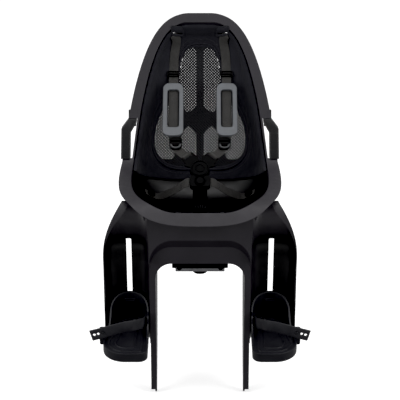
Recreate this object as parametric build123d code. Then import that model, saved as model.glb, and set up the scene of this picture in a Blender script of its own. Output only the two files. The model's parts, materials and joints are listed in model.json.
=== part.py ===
from build123d import *
import os
from math import cos, pi, radians, sin, sqrt, tan

os.makedirs("parts", exist_ok=True)

# Sizes are in millimetres. X runs across the seat, -Y is its front and Z is up.
# The origin lies between the two carrier rails, on the axis of the clamp bolt.

# Seat shell: its rim line and the bed of its scoop, as corners (y, z) in the middle plane
BACK_TOP = (235, 480)
RIM_ELBOW = (111, 181)
RIM_BEND = (-92, 148)
FRONT_LIP = (-121, 110)
RIM_ELBOW_RADIUS = 70
RIM_BEND_RADIUS = 50
DISH_TOP = (258, 420)
SEAT_CORNER = (155, 90)
PAN_FRONT = (-30, 86)
DISH_TOP_RADIUS = 40
SEAT_CORNER_RADIUS = 60
PAN_FRONT_RADIUS = 100
OPENING_HALF_WIDTH = 142
OPENING_WIDEST = 0.66
EGG_TOP_POWER = 1.4
EGG_TOP_ROOT = 3.2
EGG_FRONT_POWER = 3
SHELL_WALL = 3.2
SHELL_ROUNDNESS = 2.6
RIM_THICKNESS = 4
RIM_TOP_WIDTH = 18
RIM_SIDE_WIDTH = 25
RIM_FRONT_WIDTH = 27

# Openings in the right half of the shell's back, as corners (x, z) of the front view
UPPER_VENT = [(8, 276), (8, 396), (24, 408), (40, 392), (45, 345), (41, 292), (30, 266)]
MIDDLE_VENT = [(8, 170), (8, 226), (24, 242), (40, 228), (42, 174)]
WING_VENT = [(56, 170), (56, 264), (66, 290), (84, 272), (98, 238), (100, 194), (90, 172)]
VENT_CORNER = 7
MIDDLE_VENT_CORNER = 6

# Side handles, set into a notch in each side of the rim
NOTCH_TOP = 268
NOTCH_BOTTOM = 190
NOTCH_LIP = 4
HANDLE_OUTER = 167
HANDLE_WIDTH = 20
HANDLE_DEPTH = 22
HANDLE_TAB = 16
HANDLE_TAB_THICKNESS = 6
HANDLE_PROUD = 3
HANDLE_ROUNDING = 3
HANDLE_SCREW_HIGH = (144, 276)
HANDLE_SCREW_LOW = (156, 184)
HANDLE_SCREW_RADIUS = 2
HANDLE_SCREW_START = 1
HANDLE_SCREW_HEAD = 2.5

# Padded back liner with its mesh window
LINER_THICKNESS = 9
LINER_RECESS = 4
LINER_LOW_FRONT = (65, 178)
LINER_LOW_BACK = (160, 128)
WINDOW_TOP = 410
WINDOW_BOTTOM = 152
WINDOW_SIDE = [(32, 402), (45, 372), (51, 335), (69, 300), (92, 264), (102, 226), (98, 186), (74, 160)]
MESH_DEPTH = 5
MESH_THICKNESS = 1

# Leg guard: a bridge over the wheel with a channel for each leg
WHEEL_GAP = 181
GUARD_WALL = 3.5
BRIDGE_HEIGHT = 14
BRIDGE_RADIUS = 33
BRIDGE_BACK = 75
LIP_WIDTH = 11.5
LIP_THICKNESS = 5
LIP_TOP = 50
LIP_FRONT = -66
LIP_LEAN = 4.5
LIP_LAP = 1
LIP_END = 8
APRON_FRONT = -78
APRON_STEP = 68.5
APRON_TOP = 122
APRON_HALF_WIDTH = 112
STEP_RADIUS_ROOM = 15
LIP_RADIUS_ROOM = 10
GUARD_TIP = -280
TIP_HEIGHT = 18
TIP_LENGTH = 24
TIP_REST = 16
TIP_MIDDLE = 11
GUARD_REAR_LOW = (30, -185)
GUARD_REAR_INSET = 16
GUARD_REAR_LEVEL = -80

# Leg channels, with the knee's edge and roll as corners (y, z) below the knee's top
KNEE_TOP = (-50, 144)
KNEE_EDGE = [(-66, 127), (-75, 104), (-78, 78)]
KNEE_ROLL = [(-64, 127), (-70, 106), (-66, 84), (-51, 64)]
KNEE_PITCH = (0, -0.6, -0.8)
KNEE_FOOT = 20
KNEE_FOOT_PROUD = 2
KNEE_TAPER = 40
KNEE_TAPER_POWER = 2.3
KNEE_ROUNDNESS = 2.2
KNEE_END = 0.43
CHANNEL_ROUNDNESS = 4
CHANNEL_HALF_WIDTH = 44.5
CHANNEL_CENTRE = 147.5
CHANNEL_WALL_Y = -37
CHANNEL_WALL_TOP = 56
CHANNEL_WALL_START = 48
CHANNEL_MIDDLE = -80
CHANNEL_BOTTOM = -164
CHANNEL_RUNOUT = 26
CHANNEL_LEAN = 10
CHANNEL_LIFT = 16

# Pillar that carries the shell on the bridge
PILLAR_HALF_WIDTH = 62
PILLAR_FRONT = -52
PILLAR_BACK = 68
PILLAR_CORNER = 12
PILLAR_RISE = 21
BOSS_RADIUS = 8
BOSS_FLOOR = 30
SHELL_SCREW_X = 46
SHELL_SCREW_Y = (-30, 48)
SHELL_SCREW_RADIUS = 3
SHELL_SCREW_LENGTH = 22
SHELL_SCREW_HEAD = 7
SHELL_SCREW_HEAD_HEIGHT = 3
SCREW_SPOT = 0.8

# Footrests, slotted into the channels, with outlines as corners (y, z) or (x, z) from the heel
SLOT_CENTRE = 145
SLOT_WIDTH = 10.3
SLOT_CUT = 20
SLOT_TOP = 66
SLOT_CORNER = 2.5
FOOT_HEIGHT = 62
FOOT_SKIRT = 17
FOOT_HEEL_RADIUS = 40
FOOT_LENGTH = 150
FOOT_FLARE_RADIUS = 150
FOOT_TOE_RADIUS = 46
FOOT_CORNER = 18
FOOT_WALL = 3.5
FOOT_SOLE_Z = -120
FOOT_EDGE = [(-42, 34), (-76, 9), (-106, 3)]
FOOT_EDGE_END = 2
FOOT_EDGE_ROOM = 4
RIDGE_INSETS = (11, 24)
RIDGE_WIDTH = 2.5
RIDGE_HEIGHT = 1.4
HEEL_PAD = (22, 10, 44)
NECK_HEIGHT = 24
NECK_LEVEL = 30
NECK_ROOT = 8
EAR_BACK = 34
EAR_FRONT = 62
EAR_HEIGHT = 34
EAR_CORNER = 6
POST = [(44, -10), (44, 30), (58, 30), (58, -10)]
POST_CORNER = 4
POST_THICKNESS = 4
STUD_X = 50
STUD_RADIUS = 2.6
STUD_LENGTH = 5
SLIDER_WIDTH = 28
SLIDER_HEIGHT = 44
SLIDER_THICKNESS = 5
SLIDER_CORNER = 4
SLIDER_SCREW_RADIUS = 2.5
SLIDER_SCREW_LENGTH = 12
SLIDER_SCREW_HEAD = 3

# Foot straps, with the bend over the instep as places (across, forward, up) from the heel
FOOT_STRAP_WIDTH = 24
FOOT_STRAP_THICKNESS = 2.5
STRAP_ROOT = [(0, 38, 17), (0, 46, 17.5), (1, 54, 18.5), (6, 66, 22), (15, 77, 26)]
STRAP_INSTEP = [(-8, 86, 28.5), (8, 91, 28.5), (24, 94.5, 26)]
STRAP_TAB = [(46, 20.5), (54, 18), (66, 14.5), (75, 12)]
STRAP_TAB_BEND = (38, 0.5, 23)
STRAP_STUD_Y = 96
STRAP_END_LEVEL = 19.3
STRAP_HOLES = (0, 10, 18)
STRAP_FALL = 0.28

# Harness, which hangs in a slanting plane: places in it are (across, up) from the buckle
WEBBING = 20
WEBBING_THICKNESS = 1.6
STRAP_ROOM = 1
BUCKLE_CENTRE = (50, 180)
HARNESS_SLOPE = 46.4
BUCKLE_RADIUS = 20
BUCKLE_THICKNESS = 15
BUCKLE_DOME = 1
BLOCK_WIDTH = 42
BLOCK_LENGTH = 26
BLOCK_CORNER = 6
BLOCK_UP = -29
BUTTON_RADIUS = 8
BUTTON_HEIGHT = 7
BUTTON_PROUD = 1.5
BUTTON_WALL = 1.5
BUTTON_TRAVEL = 3
POCKET_FLOOR = -4
SPRING_THICKNESS = 1.5
SPRING_INSET = 2.5

# Tongues that latch into the buckle
TONGUE_ANGLE = 50
TONGUE_ARC = (14, 48, 82)
TONGUE_BAND = 13
TONGUE_THICKNESS = 3
WING_SIZE = (30, 16)
WING_CORNER = 4
WING_OUT = 4
WING_SLOT = (22, 4)
WING_SLOT_OUT = 6
BLADE_SIZE = (9, 14)
BLADE_IN = 3
BLADE_ROOM = 1
TONGUE_STRAP_OUT = 19

# Shoulder straps with their pads, slide buckles and adjusters
SHOULDER_SLOT = (48, 440)
SHELL_SLOT_ROOM = 6
SHELL_SLOT_HEIGHT = 8
LINER_SLOT_ROOM = 4
LINER_SLOT_HEIGHT = 15
STRAP_LOW = 66
STRAP_JOG = 2
STRAP_JOG_LENGTH = 16
STRAP_REST = (125, 155, 185)
STRAP_RISE = [(0.15, 8), (0.13, 7), (0.11, 5), (0.09, 3), (0.075, 2), (0.06, 1)]
STRAP_TURN = [(-1, -3), (2, 0.5), (5, 0.8), (8, 0.8)]
PIN_RADIUS = 3
PIN_SHARE = 0.045
PIN_OVERHANG = 16
PAD_X = 57
PAD_WIDTH = 46
PAD_BAND = 11.5
PAD_END_BAND = 40
PAD_WINDOW_UP = 2
PAD_WINDOW_CORNER = 2
PAD_CORNER = 15
PAD_LOW = 79
PAD_HIGH = 211
PAD_THICKNESS = 7
GLIDE_UP = 236
GLIDE_HALF_LENGTH = 9
GLIDE_FRAME = 8
GLIDE_LENGTH = 14
GLIDE_CORNER = 3
GLIDE_SLOT = 3.6
GLIDE_SLOT_SHIFT = 3.4
GLIDE_THICKNESS = 3
ADJUSTER_X = 51
ADJUSTER_UP = 62
ADJUSTER_FRAME = 7
ADJUSTER_LENGTH = 29
ADJUSTER_CORNER = 9
ADJUSTER_SLOT = 4
ADJUSTER_SLOT_UP = 4
ADJUSTER_GRIP = 3
ADJUSTER_GRIP_INSET = 4
ADJUSTER_GRIP_UP = -6
ADJUSTER_THICKNESS = 5
TONGUE_STRAP_IN = 1
TONGUE_STRAP_DOWN = 9

# Crotch strap and lap straps
CROTCH_WIDTH = 30
CROTCH_Y = -8
CROTCH_SHARE = 0.835
CROTCH_SLOT_ROOM = 4
CROTCH_SLOT_DEPTH = 9
CROTCH_HANG = 12
CROTCH_BEND = [(8, 26), (1, 10)]
CROTCH_PIN_OVERHANG = 12
LAP_SHARE = 0.64
LAP_X = 106
LAP_REST = (-14, -7, 0, 6, 11)
LAP_START = (7, 1, -0.5)
LAP_SAG = [(0.5, (0, 3, -4), 0.45), (0.8, (0, 1, -3), 0.8)]
LAP_STUD_RADIUS = 3
LAP_STUD_HEAD = 9
LAP_STUD_LIFT = 3.4
LAP_STUD_THICKNESS = 4
LAP_NUT_SHARE = 1.8

# Carrier clamp
RAIL_RADIUS = 5
RAIL_SPACING = 84
PLATE_HALF_WIDTH = 57
PLATE_CORNER = 5
CLAMP_LENGTH = 100
PLATE_SCREW_X = 25
PLATE_SCREW_Y = (-36, 36)
PLATE_SCREW_RADIUS = 2.5
PLATE_SCREW_LENGTH = 21
PLATE_SCREW_HEAD = 3
PLATE_NUT_RADIUS = 4.5
PLATE_NUT = 3.5
BOLT_RADIUS = 4
BOLT_END = -23
BOLT_HEAD = 5
BOLT_ROOM = 1
JAW_HALF_WIDTH = 50
JAW_THICKNESS = 7
JAW_CORNER = 2
JAW_GAP = 0.6
KNOB_GAP = 0.2
KNOB_RADIUS = 15
KNOB_BOTTOM = -26
KNOB_ROUNDING = 4
KNOB_FLUTES = 8
FLUTE_RADIUS = 3.6
FLUTE_OUT = 1.6

# Clearances
SEAT_GAP = 0.3
RAIL_FIT = 0.1
THREAD_FIT = 0.08
SCREW_FIT = 0.1
SLIDE_GAP = 0.4
FOOT_GAP = 1

# Lengths that reach past the seat, and past one wall
FAR = 600
CUT = 50


def front_prism(sketch, y_front, y_back):
    """Extrude a sketch drawn in the front view between two depths."""
    return extrude(Plane.XZ.offset(-y_back) * sketch, y_back - y_front)


def side_prism(sketch, x_low, x_high):
    """Extrude a sketch drawn in the side view (y, z) between two places across the seat."""
    return extrude(Plane.YZ.offset(x_low) * sketch, x_high - x_low)


def both_sides(solid):
    """A solid together with its mirror image across the middle plane."""
    return solid + mirror(solid, about=Plane.YZ)


def open_side(tangent):
    """The direction square to a middle-plane line, on the side where the child sits."""
    return Vector(0, tangent.Z, -tangent.Y)


def spaced(count, first, last):
    """A row of shares from first to last, closer together near both ends."""
    shares = [(1 - cos(pi * i / (count - 1))) / 2 for i in range(count)]
    return [first + (last - first) * share for share in shares]


def scoop(edge, bed, sides_at, grow, round_at, shares):
    """Loft of U-shaped sections hung from an edge line down to a bed line, grown outwards."""
    sections = []
    for share in shares:
        top = edge(share)
        low = bed @ share - open_side(bed % share) * grow
        left, right = sides_at(share)
        middle, half = (left + right) / 2, (right - left) / 2 + grow
        rounding = round_at(share)
        points = []
        for step in range(13):
            c, s = cos(pi * step / 12), sin(pi * step / 12)
            reach = (abs(c) ** rounding + abs(s) ** rounding) ** (-1 / rounding)
            points.append(top + Vector(middle + half * c * reach, 0, 0) + (low - top) * (s * reach))
        sections.append(make_face([Spline(*points), Line(points[-1], points[0])]))
    return loft(sections)


# Seat shell

def in_middle(*corners):
    """Corners (y, z) as points of the middle plane."""
    return [corner if isinstance(corner, Vector) else Vector(0, *corner) for corner in corners]


rim_line = FilletPolyline(*in_middle(BACK_TOP, RIM_ELBOW, RIM_BEND, FRONT_LIP),
                          radius=[RIM_ELBOW_RADIUS, RIM_BEND_RADIUS])
RIM_START = RIM_TOP_WIDTH / rim_line.length
RIM_END = 1 - RIM_FRONT_WIDTH / rim_line.length
bed_line = FilletPolyline(*in_middle(rim_line @ RIM_START, DISH_TOP, SEAT_CORNER, PAN_FRONT,
                                     rim_line @ RIM_END),
                          radius=[DISH_TOP_RADIUS, SEAT_CORNER_RADIUS, PAN_FRONT_RADIUS])


def egg(share, half_width):
    """Half width of the egg-shaped seat at a share of the way from its top to its front."""
    if share < OPENING_WIDEST:
        return half_width * (1 - (1 - share / OPENING_WIDEST) ** EGG_TOP_POWER) ** (1 / EGG_TOP_ROOT)
    ahead = (share - OPENING_WIDEST) / (1 - OPENING_WIDEST)
    return half_width * (1 - ahead ** EGG_FRONT_POWER) ** (1 / EGG_FRONT_POWER)


def rim_share(share):
    """Share along the whole rim line for a share of the opening."""
    return RIM_START + share * (RIM_END - RIM_START)


def bowl_edge(share):
    """Place on the bowl's open edge, a little in front of the rim's face."""
    along = rim_share(share)
    return rim_line @ along + open_side(rim_line % along) * RIM_THICKNESS


def bowl(grow):
    """The scoop of the seat, grown outwards."""
    def sides(share):
        half = egg(share, OPENING_HALF_WIDTH)
        return -half, half

    return scoop(bowl_edge, bed_line, sides, grow, lambda share: SHELL_ROUNDNESS, spaced(15, 0.006, 0.994))


def bowl_point(share, x, grow):
    """Place on the surface of the bowl, grown outwards, at a distance from the middle plane."""
    edge = bowl_edge(share)
    low = bed_line @ share - open_side(bed_line % share) * grow
    across = abs(x) / (egg(share, OPENING_HALF_WIDTH) + grow)
    depth = (1 - across ** SHELL_ROUNDNESS) ** (1 / SHELL_ROUNDNESS)
    return edge + Vector(x, 0, 0) + (low - edge) * depth


def rim_slab(front, back):
    """Slab across the whole seat between two depths behind the rim's front face."""
    def offset_line(depth):
        shares = [i / 24 for i in range(25)]
        return [rim_line @ share - open_side(rim_line % share) * depth for share in shares]

    near, far = offset_line(front), offset_line(back)
    outline = [Spline(*near), Line(near[-1], far[-1]), Spline(*far), Line(far[0], near[0])]
    face = make_face(outline)
    return extrude(face, FAR / 2, both=True, dir=(1, 0, 0))


def rim_outline():
    """Front view of the rim's outer edge."""
    half = OPENING_HALF_WIDTH + RIM_SIDE_WIDTH
    shares = spaced(21, 0, 1)[1:-1]
    right = [(egg(share, half), (rim_line @ share).Z) for share in shares]
    left = [(-x, z) for x, z in reversed(right)]
    top, front = (0, BACK_TOP[1]), (0, FRONT_LIP[1])
    return make_face(Spline(top, *right, front, *left, top, periodic=False))


def rim_point(level):
    """Share of the rim line at a height."""
    shares = [i / 400 for i in range(401)]
    return min(shares, key=lambda share: abs((rim_line @ share).Z - level))


def opening_half_at(level):
    """Half width of the seat's opening at a height on the rim."""
    share = (rim_point(level) - RIM_START) / (RIM_END - RIM_START)
    return egg(share, OPENING_HALF_WIDTH)


def handle_notch():
    """Front view of the cut in the right-hand rim that takes the handle."""
    upper = opening_half_at(NOTCH_TOP) + NOTCH_LIP
    lower = opening_half_at(NOTCH_BOTTOM) + NOTCH_LIP
    return make_face(Polyline((upper, NOTCH_TOP), (lower, NOTCH_BOTTOM), (FAR / 2, NOTCH_BOTTOM),
                              (FAR / 2, NOTCH_TOP), close=True))


def rounded(points, radius):
    """Closed outline with every corner rounded."""
    face = make_face(Polyline(*points, close=True))
    return fillet(face.vertices(), radius)


def back_vents():
    """Front view of the openings in the right half of the shell's back."""
    upper, wing = rounded(UPPER_VENT, VENT_CORNER), rounded(WING_VENT, VENT_CORNER)
    return upper + rounded(MIDDLE_VENT, MIDDLE_VENT_CORNER) + wing


def mesh_window(shrink):
    """Front view of the pear-shaped window in the back liner."""
    top, bottom = (0, WINDOW_TOP - shrink), (0, WINDOW_BOTTOM + shrink)
    right = [(x - shrink, z) for x, z in WINDOW_SIDE]
    left = [(-x, z) for x, z in reversed(right)]
    return make_face(Spline(top, *right, bottom, *left, top))


def wall_plane(share, x):
    """Plane on the bowl's inner surface that faces into the seat, with x_dir outwards along the wall."""
    place = bowl_point(share, x, 0)
    outwards = bowl_point(share, x + 2, 0) - bowl_point(share, x - 2, 0)
    along = bowl_point(share - 0.01, x, 0) - bowl_point(share + 0.01, x, 0)
    return Plane(place, x_dir=outwards, z_dir=outwards.cross(along))


lap_plane = wall_plane(LAP_SHARE, LAP_X)


def shell_screw_places():
    return [(side * SHELL_SCREW_X, y) for side in (-1, 1) for y in SHELL_SCREW_Y]


def pan_seat(x, y):
    """Height of the flat on which a shell screw's head sits in the pan."""
    shares = [i / 400 for i in range(200, 401)]
    share = min(shares, key=lambda share: abs((bed_line @ share).Y - y))
    return bowl_point(share, x, 0).Z - SCREW_SPOT


def make_seat_shell():
    rim = rim_slab(0, RIM_THICKNESS) & front_prism(rim_outline(), -FAR, FAR)
    shell = rim + (bowl(SHELL_WALL) - rim_slab(-CUT, RIM_THICKNESS / 2)) - bowl(0)
    shell -= both_sides(front_prism(handle_notch(), -FAR, FAR))
    shell -= both_sides(front_prism(back_vents(), SEAT_CORNER[0], FAR))
    shell -= shoulder_slots(WEBBING + SHELL_SLOT_ROOM, SHELL_SLOT_HEIGHT)
    shell -= Pos(0, CROTCH_Y, PAN_FRONT[1]) * Box(CROTCH_WIDTH + CROTCH_SLOT_ROOM, CROTCH_SLOT_DEPTH, CUT)
    shell -= both_sides(handle_screw_cores(HANDLE_SCREW_RADIUS + SCREW_FIT, RIM_THICKNESS))
    shell -= both_sides(lap_plane * Cylinder(LAP_STUD_RADIUS + SCREW_FIT, CUT))
    for x, y in shell_screw_places():
        place = Pos(x, y, pan_seat(x, y))
        shell -= place * Cylinder(SHELL_SCREW_RADIUS + SCREW_FIT, CUT)
        shell -= place * extrude(Circle(SHELL_SCREW_HEAD + FOOT_GAP), CUT / 2)
    return shell


# Side handles

def make_side_handle():
    """Right-hand grip: a bar across the notch with a tab behind the rim at each end."""
    low, high = rim_line @ rim_point(NOTCH_BOTTOM), rim_line @ rim_point(NOTCH_TOP)
    run = (high - low).normalized()
    forward = Vector(0, -run.Z, run.Y)
    ends = low - run * HANDLE_DEPTH, high + run * HANDLE_DEPTH
    front = [end + forward * HANDLE_PROUD for end in ends]
    back = [point - forward * HANDLE_DEPTH for point in reversed(front)]
    slab = extrude(make_face(Polyline(*front, *back, close=True)), FAR / 2, both=True, dir=(1, 0, 0))
    bottom, top = NOTCH_BOTTOM + SEAT_GAP, NOTCH_TOP - SEAT_GAP
    inner = HANDLE_OUTER - HANDLE_WIDTH
    root = opening_half_at(NOTCH_TOP - HANDLE_TAB / 2) + NOTCH_LIP + SEAT_GAP
    shoulder = top - HANDLE_WIDTH
    outline = make_face(Polyline((inner, bottom), (HANDLE_OUTER, bottom), (HANDLE_OUTER, shoulder),
                                 (root + HANDLE_TAB, top), (root, top), (root, top - HANDLE_TAB / 2),
                                 (inner, shoulder - HANDLE_TAB / 2), close=True))
    bends = [v for v in outline.vertices() if bottom + 1 < v.Y < top - 1]
    grip = slab & front_prism(fillet(bends, HANDLE_TAB / 4), -FAR, FAR)
    face = grip.faces().sort_by(lambda face: face.center().dot(forward))[-1]
    long_edges = [edge for edge in face.edges() if bottom + 1 < edge.center().Z < top - 1]
    grip = fillet(long_edges, HANDLE_ROUNDING)
    behind = rim_slab(RIM_THICKNESS + SEAT_GAP, RIM_THICKNESS + SEAT_GAP + HANDLE_TAB_THICKNESS)
    high_tab = Pos(HANDLE_SCREW_HIGH[0], top) * Rectangle(HANDLE_TAB, 2 * HANDLE_TAB)
    low_tab = Pos(HANDLE_SCREW_LOW[0], bottom) * Rectangle(HANDLE_TAB, 2 * HANDLE_TAB)
    handle = grip + (behind & front_prism(high_tab + low_tab, -FAR, FAR))
    return handle - handle_screw_cores(HANDLE_SCREW_RADIUS + SCREW_FIT, CUT)


def handle_screw_cores(radius, length):
    """Right-hand screw shanks, from inside the rim backwards."""
    cores = []
    for x, level in (HANDLE_SCREW_LOW, HANDLE_SCREW_HIGH):
        along = rim_point(level)
        back = open_side(rim_line % along) * -1
        start = rim_line @ along + back * HANDLE_SCREW_START
        cores.append(Plane(start + Vector(x, 0, 0), z_dir=back) * extrude(Circle(radius), length))
    return cores[0] + cores[1]


def make_handle_screws():
    shank = RIM_THICKNESS + SEAT_GAP + HANDLE_TAB_THICKNESS + SEAT_GAP - HANDLE_SCREW_START
    length = shank + HANDLE_SCREW_HEAD
    heads = handle_screw_cores(2 * HANDLE_SCREW_RADIUS, length)
    heads -= handle_screw_cores(3 * HANDLE_SCREW_RADIUS, shank)
    return both_sides(handle_screw_cores(HANDLE_SCREW_RADIUS, length) + heads)


# Back liner and mesh

def above_liner_edge():
    """Everything above and behind the slanting lower edge of the liner."""
    low, high = Vector(*LINER_LOW_FRONT), Vector(*LINER_LOW_BACK)
    reach = (high - low).normalized() * FAR / 2
    start, end = low - reach, high + reach
    area = make_face(Polyline(start, end, end + Vector(0, FAR), start + Vector(0, FAR), close=True))
    return side_prism(area, -FAR / 2, FAR / 2)


def shoulder_slots(width, height):
    slot_x, slot_z = SHOULDER_SLOT
    slot = front_prism(RectangleRounded(width, height, height / 3), DISH_TOP[0] - CUT, FAR)
    return both_sides(Pos(slot_x, 0, slot_z) * slot)


def make_back_liner():
    pad = bowl(-SEAT_GAP) - rim_slab(-CUT, LINER_RECESS) - bowl(-LINER_THICKNESS)
    pad = pad & above_liner_edge()
    pad -= front_prism(mesh_window(0), -FAR, FAR)
    return pad - shoulder_slots(WEBBING + LINER_SLOT_ROOM, LINER_SLOT_HEIGHT)


def make_back_mesh():
    sheet = bowl(-MESH_DEPTH) - rim_slab(-CUT, LINER_RECESS) - bowl(-MESH_DEPTH - MESH_THICKNESS)
    return sheet & front_prism(mesh_window(SEAT_GAP), SEAT_CORNER[0] / 2, FAR)


# Leg guard

def lip_y(level):
    """Depth of the guard's front lip at a height."""
    return LIP_FRONT + (LIP_TOP - level) * tan(radians(LIP_LEAN))


def wall_y(level):
    """Depth of the channel's back wall at a height."""
    return CHANNEL_WALL_Y + (CHANNEL_WALL_TOP - level) * tan(radians(CHANNEL_LEAN))


CHANNEL_END = CHANNEL_BOTTOM - CHANNEL_RUNOUT
knee_edge = Spline(*in_middle(KNEE_TOP, *KNEE_EDGE, (lip_y(KNEE_FOOT) - KNEE_FOOT_PROUD, KNEE_FOOT),
                              (lip_y(CHANNEL_MIDDLE), CHANNEL_MIDDLE), (lip_y(CHANNEL_END), CHANNEL_END)))
wall_start, wall_end = in_middle((wall_y(CHANNEL_WALL_START), CHANNEL_WALL_START),
                                 (wall_y(CHANNEL_END), CHANNEL_END))
knee_roll = Spline(*in_middle(KNEE_TOP, *KNEE_ROLL), wall_start, tangents=[KNEE_PITCH, wall_end - wall_start])
channel_bed = Wire([knee_roll, Line(wall_start, wall_end)])


def channel(grow, lift):
    """The right-hand leg channel, grown outwards and lifted in front of its edge."""
    def sides(share):
        level = (knee_edge @ share).Z
        outer = CHANNEL_CENTRE + CHANNEL_HALF_WIDTH
        rise = max(0, (level - KNEE_FOOT) / (KNEE_TOP[1] - KNEE_FOOT))
        return CHANNEL_CENTRE - CHANNEL_HALF_WIDTH, outer - KNEE_TAPER * rise ** KNEE_TAPER_POWER

    def lifted(share):
        return knee_edge @ share + open_side(knee_edge % share) * lift

    def rounding(share):
        return KNEE_ROUNDNESS + (CHANNEL_ROUNDNESS - KNEE_ROUNDNESS) * min(1, share / KNEE_END)

    knee = scoop(lifted, channel_bed, sides, grow, rounding, spaced(12, 0.004, KNEE_END))
    return knee + scoop(lifted, channel_bed, sides, grow, rounding, [KNEE_END, 0.996])


def arch(half_width, top, radius):
    """Front view of an arch that is open at the bottom."""
    height = top - GUARD_TIP + CUT
    face = Pos(0, top - height / 2) * Rectangle(2 * half_width, height)
    return fillet(face.vertices().group_by(Axis.Y)[-1], radius)


def make_bridge():
    """Inverted-U tunnel over the wheel, whose sides end in pointed spoke guards."""
    half = WHEEL_GAP / 2
    section = arch(half + GUARD_WALL, BRIDGE_HEIGHT + GUARD_WALL, BRIDGE_RADIUS + GUARD_WALL)
    section -= arch(half, BRIDGE_HEIGHT, BRIDGE_RADIUS)
    top = BRIDGE_HEIGHT + 2 * GUARD_WALL
    corner = (lip_y(top) + LIP_LAP, top)
    heel = (lip_y(GUARD_TIP + TIP_HEIGHT) + LIP_LAP, GUARD_TIP + TIP_HEIGHT)
    toe = (heel[0] + TIP_LENGTH, GUARD_TIP + TIP_REST)
    tip = ThreePointArc(heel, (heel[0] + TIP_MIDDLE, GUARD_TIP), toe)
    knuckle = (BRIDGE_BACK - GUARD_REAR_INSET, GUARD_REAR_LEVEL)
    rear = Spline(toe, GUARD_REAR_LOW, knuckle, (BRIDGE_BACK, BRIDGE_HEIGHT))
    roof = Polyline((BRIDGE_BACK, BRIDGE_HEIGHT), (BRIDGE_BACK, top), corner)
    profile = make_face([Line(corner, heel), tip, rear, roof])
    return front_prism(section, -FAR, FAR) & side_prism(profile, -FAR / 2, FAR / 2)


def make_lip():
    """Front flange that runs round the arch and down both legs."""
    half = WHEEL_GAP / 2
    ring = arch(half + LIP_WIDTH, LIP_TOP, BRIDGE_RADIUS + LIP_WIDTH)
    ring -= arch(half, BRIDGE_HEIGHT, BRIDGE_RADIUS)
    low = GUARD_TIP + LIP_END
    front = [(lip_y(level), level) for level in (LIP_TOP, low)]
    back = [(y + LIP_THICKNESS, level) for y, level in reversed(front)]
    band = make_face(Polyline(*front, *back, close=True))
    return front_prism(ring, -FAR, FAR) & side_prism(band, -FAR / 2, FAR / 2)


def make_apron():
    """Front skin between the knees, stepped back to the lip along an arch."""
    half = WHEEL_GAP / 2 + LIP_WIDTH
    front = arch(half, APRON_STEP, BRIDGE_RADIUS + STEP_RADIUS_ROOM)
    back = arch(half - LIP_LAP, LIP_TOP - LIP_LAP, BRIDGE_RADIUS + LIP_RADIUS_ROOM)
    step = loft([Plane.XZ.offset(LIP_LAP / 2 - APRON_FRONT) * front,
                 Plane.XZ.offset(-LIP_LAP - LIP_FRONT) * back])
    bottom = BRIDGE_HEIGHT + GUARD_WALL
    face = Pos(0, (APRON_TOP + bottom) / 2) * Rectangle(2 * APRON_HALF_WIDTH, APRON_TOP - bottom)
    block = front_prism(face, APRON_FRONT, LIP_FRONT + LIP_LAP) - step
    return block - Pos(0, GUARD_WALL, 0) * block


def make_pillar():
    """Hollow pillar with four screw bosses, shaped to the underside of the shell."""
    middle, depth = (PILLAR_FRONT + PILLAR_BACK) / 2, PILLAR_BACK - PILLAR_FRONT
    inside = PILLAR_HALF_WIDTH - GUARD_WALL
    plan = RectangleRounded(2 * PILLAR_HALF_WIDTH, depth, PILLAR_CORNER)
    plan -= RectangleRounded(2 * inside, depth - 2 * GUARD_WALL, PILLAR_CORNER - GUARD_WALL)
    foot = BRIDGE_HEIGHT + LIP_LAP
    height = SEAT_CORNER[1] + PILLAR_RISE - foot
    pillar = Pos(0, middle, foot) * extrude(plan, height)
    for x, y in shell_screw_places():
        pillar += Pos(x, y, foot) * extrude(Circle(BOSS_RADIUS), height)
    return pillar


def slot_prism():
    """Right-hand slot in the channel's back wall, along which the footrest slides."""
    low = NECK_LEVEL - NECK_HEIGHT / 2 - SLOT_CORNER
    length = (SLOT_TOP - foot_place(0, 0, low).Z) / cos(radians(CHANNEL_LEAN))
    middle = low + length / 2
    hole = extrude(Plane.XZ * RectangleRounded(SLOT_WIDTH, length, SLOT_CORNER), SLOT_CUT, both=True)
    return foot_plane * (Pos(0, 0, middle) * hole)


def make_leg_guard():
    outside, inside = channel(GUARD_WALL, 0), channel(0, CHANNEL_LIFT)
    guard = make_apron() + make_bridge() + make_pillar() + both_sides(outside)
    guard -= both_sides(inside)
    guard -= Pos(0, 0, CHANNEL_BOTTOM - FAR / 2) * Box(2 * FAR, 2 * FAR, FAR) & both_sides(outside)
    guard -= bowl(SHELL_WALL + SEAT_GAP)
    guard += make_lip()
    guard -= both_sides(slot_prism())
    for x, y in plate_screw_places():
        guard -= Pos(x, y) * extrude(Circle(PLATE_SCREW_RADIUS + SCREW_FIT), BRIDGE_HEIGHT + 2 * GUARD_WALL)
    for x, y in shell_screw_places():
        pilot = extrude(Circle(SHELL_SCREW_RADIUS + SCREW_FIT), CUT + BOSS_FLOOR)
        guard -= Pos(x, y, BRIDGE_HEIGHT + BOSS_FLOOR) * pilot
    return guard


# Footrests

foot_plane = Plane(origin=(SLOT_CENTRE, wall_y(FOOT_SOLE_Z), FOOT_SOLE_Z), x_dir=(1, 0, 0),
                   z_dir=(0, -sin(radians(CHANNEL_LEAN)), cos(radians(CHANNEL_LEAN))))


def foot_place(across, forward, up):
    """A place on the right-hand footrest, from its heel, as a point of the seat."""
    return foot_plane.from_local_coords(Vector(across, -forward, up))


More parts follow.
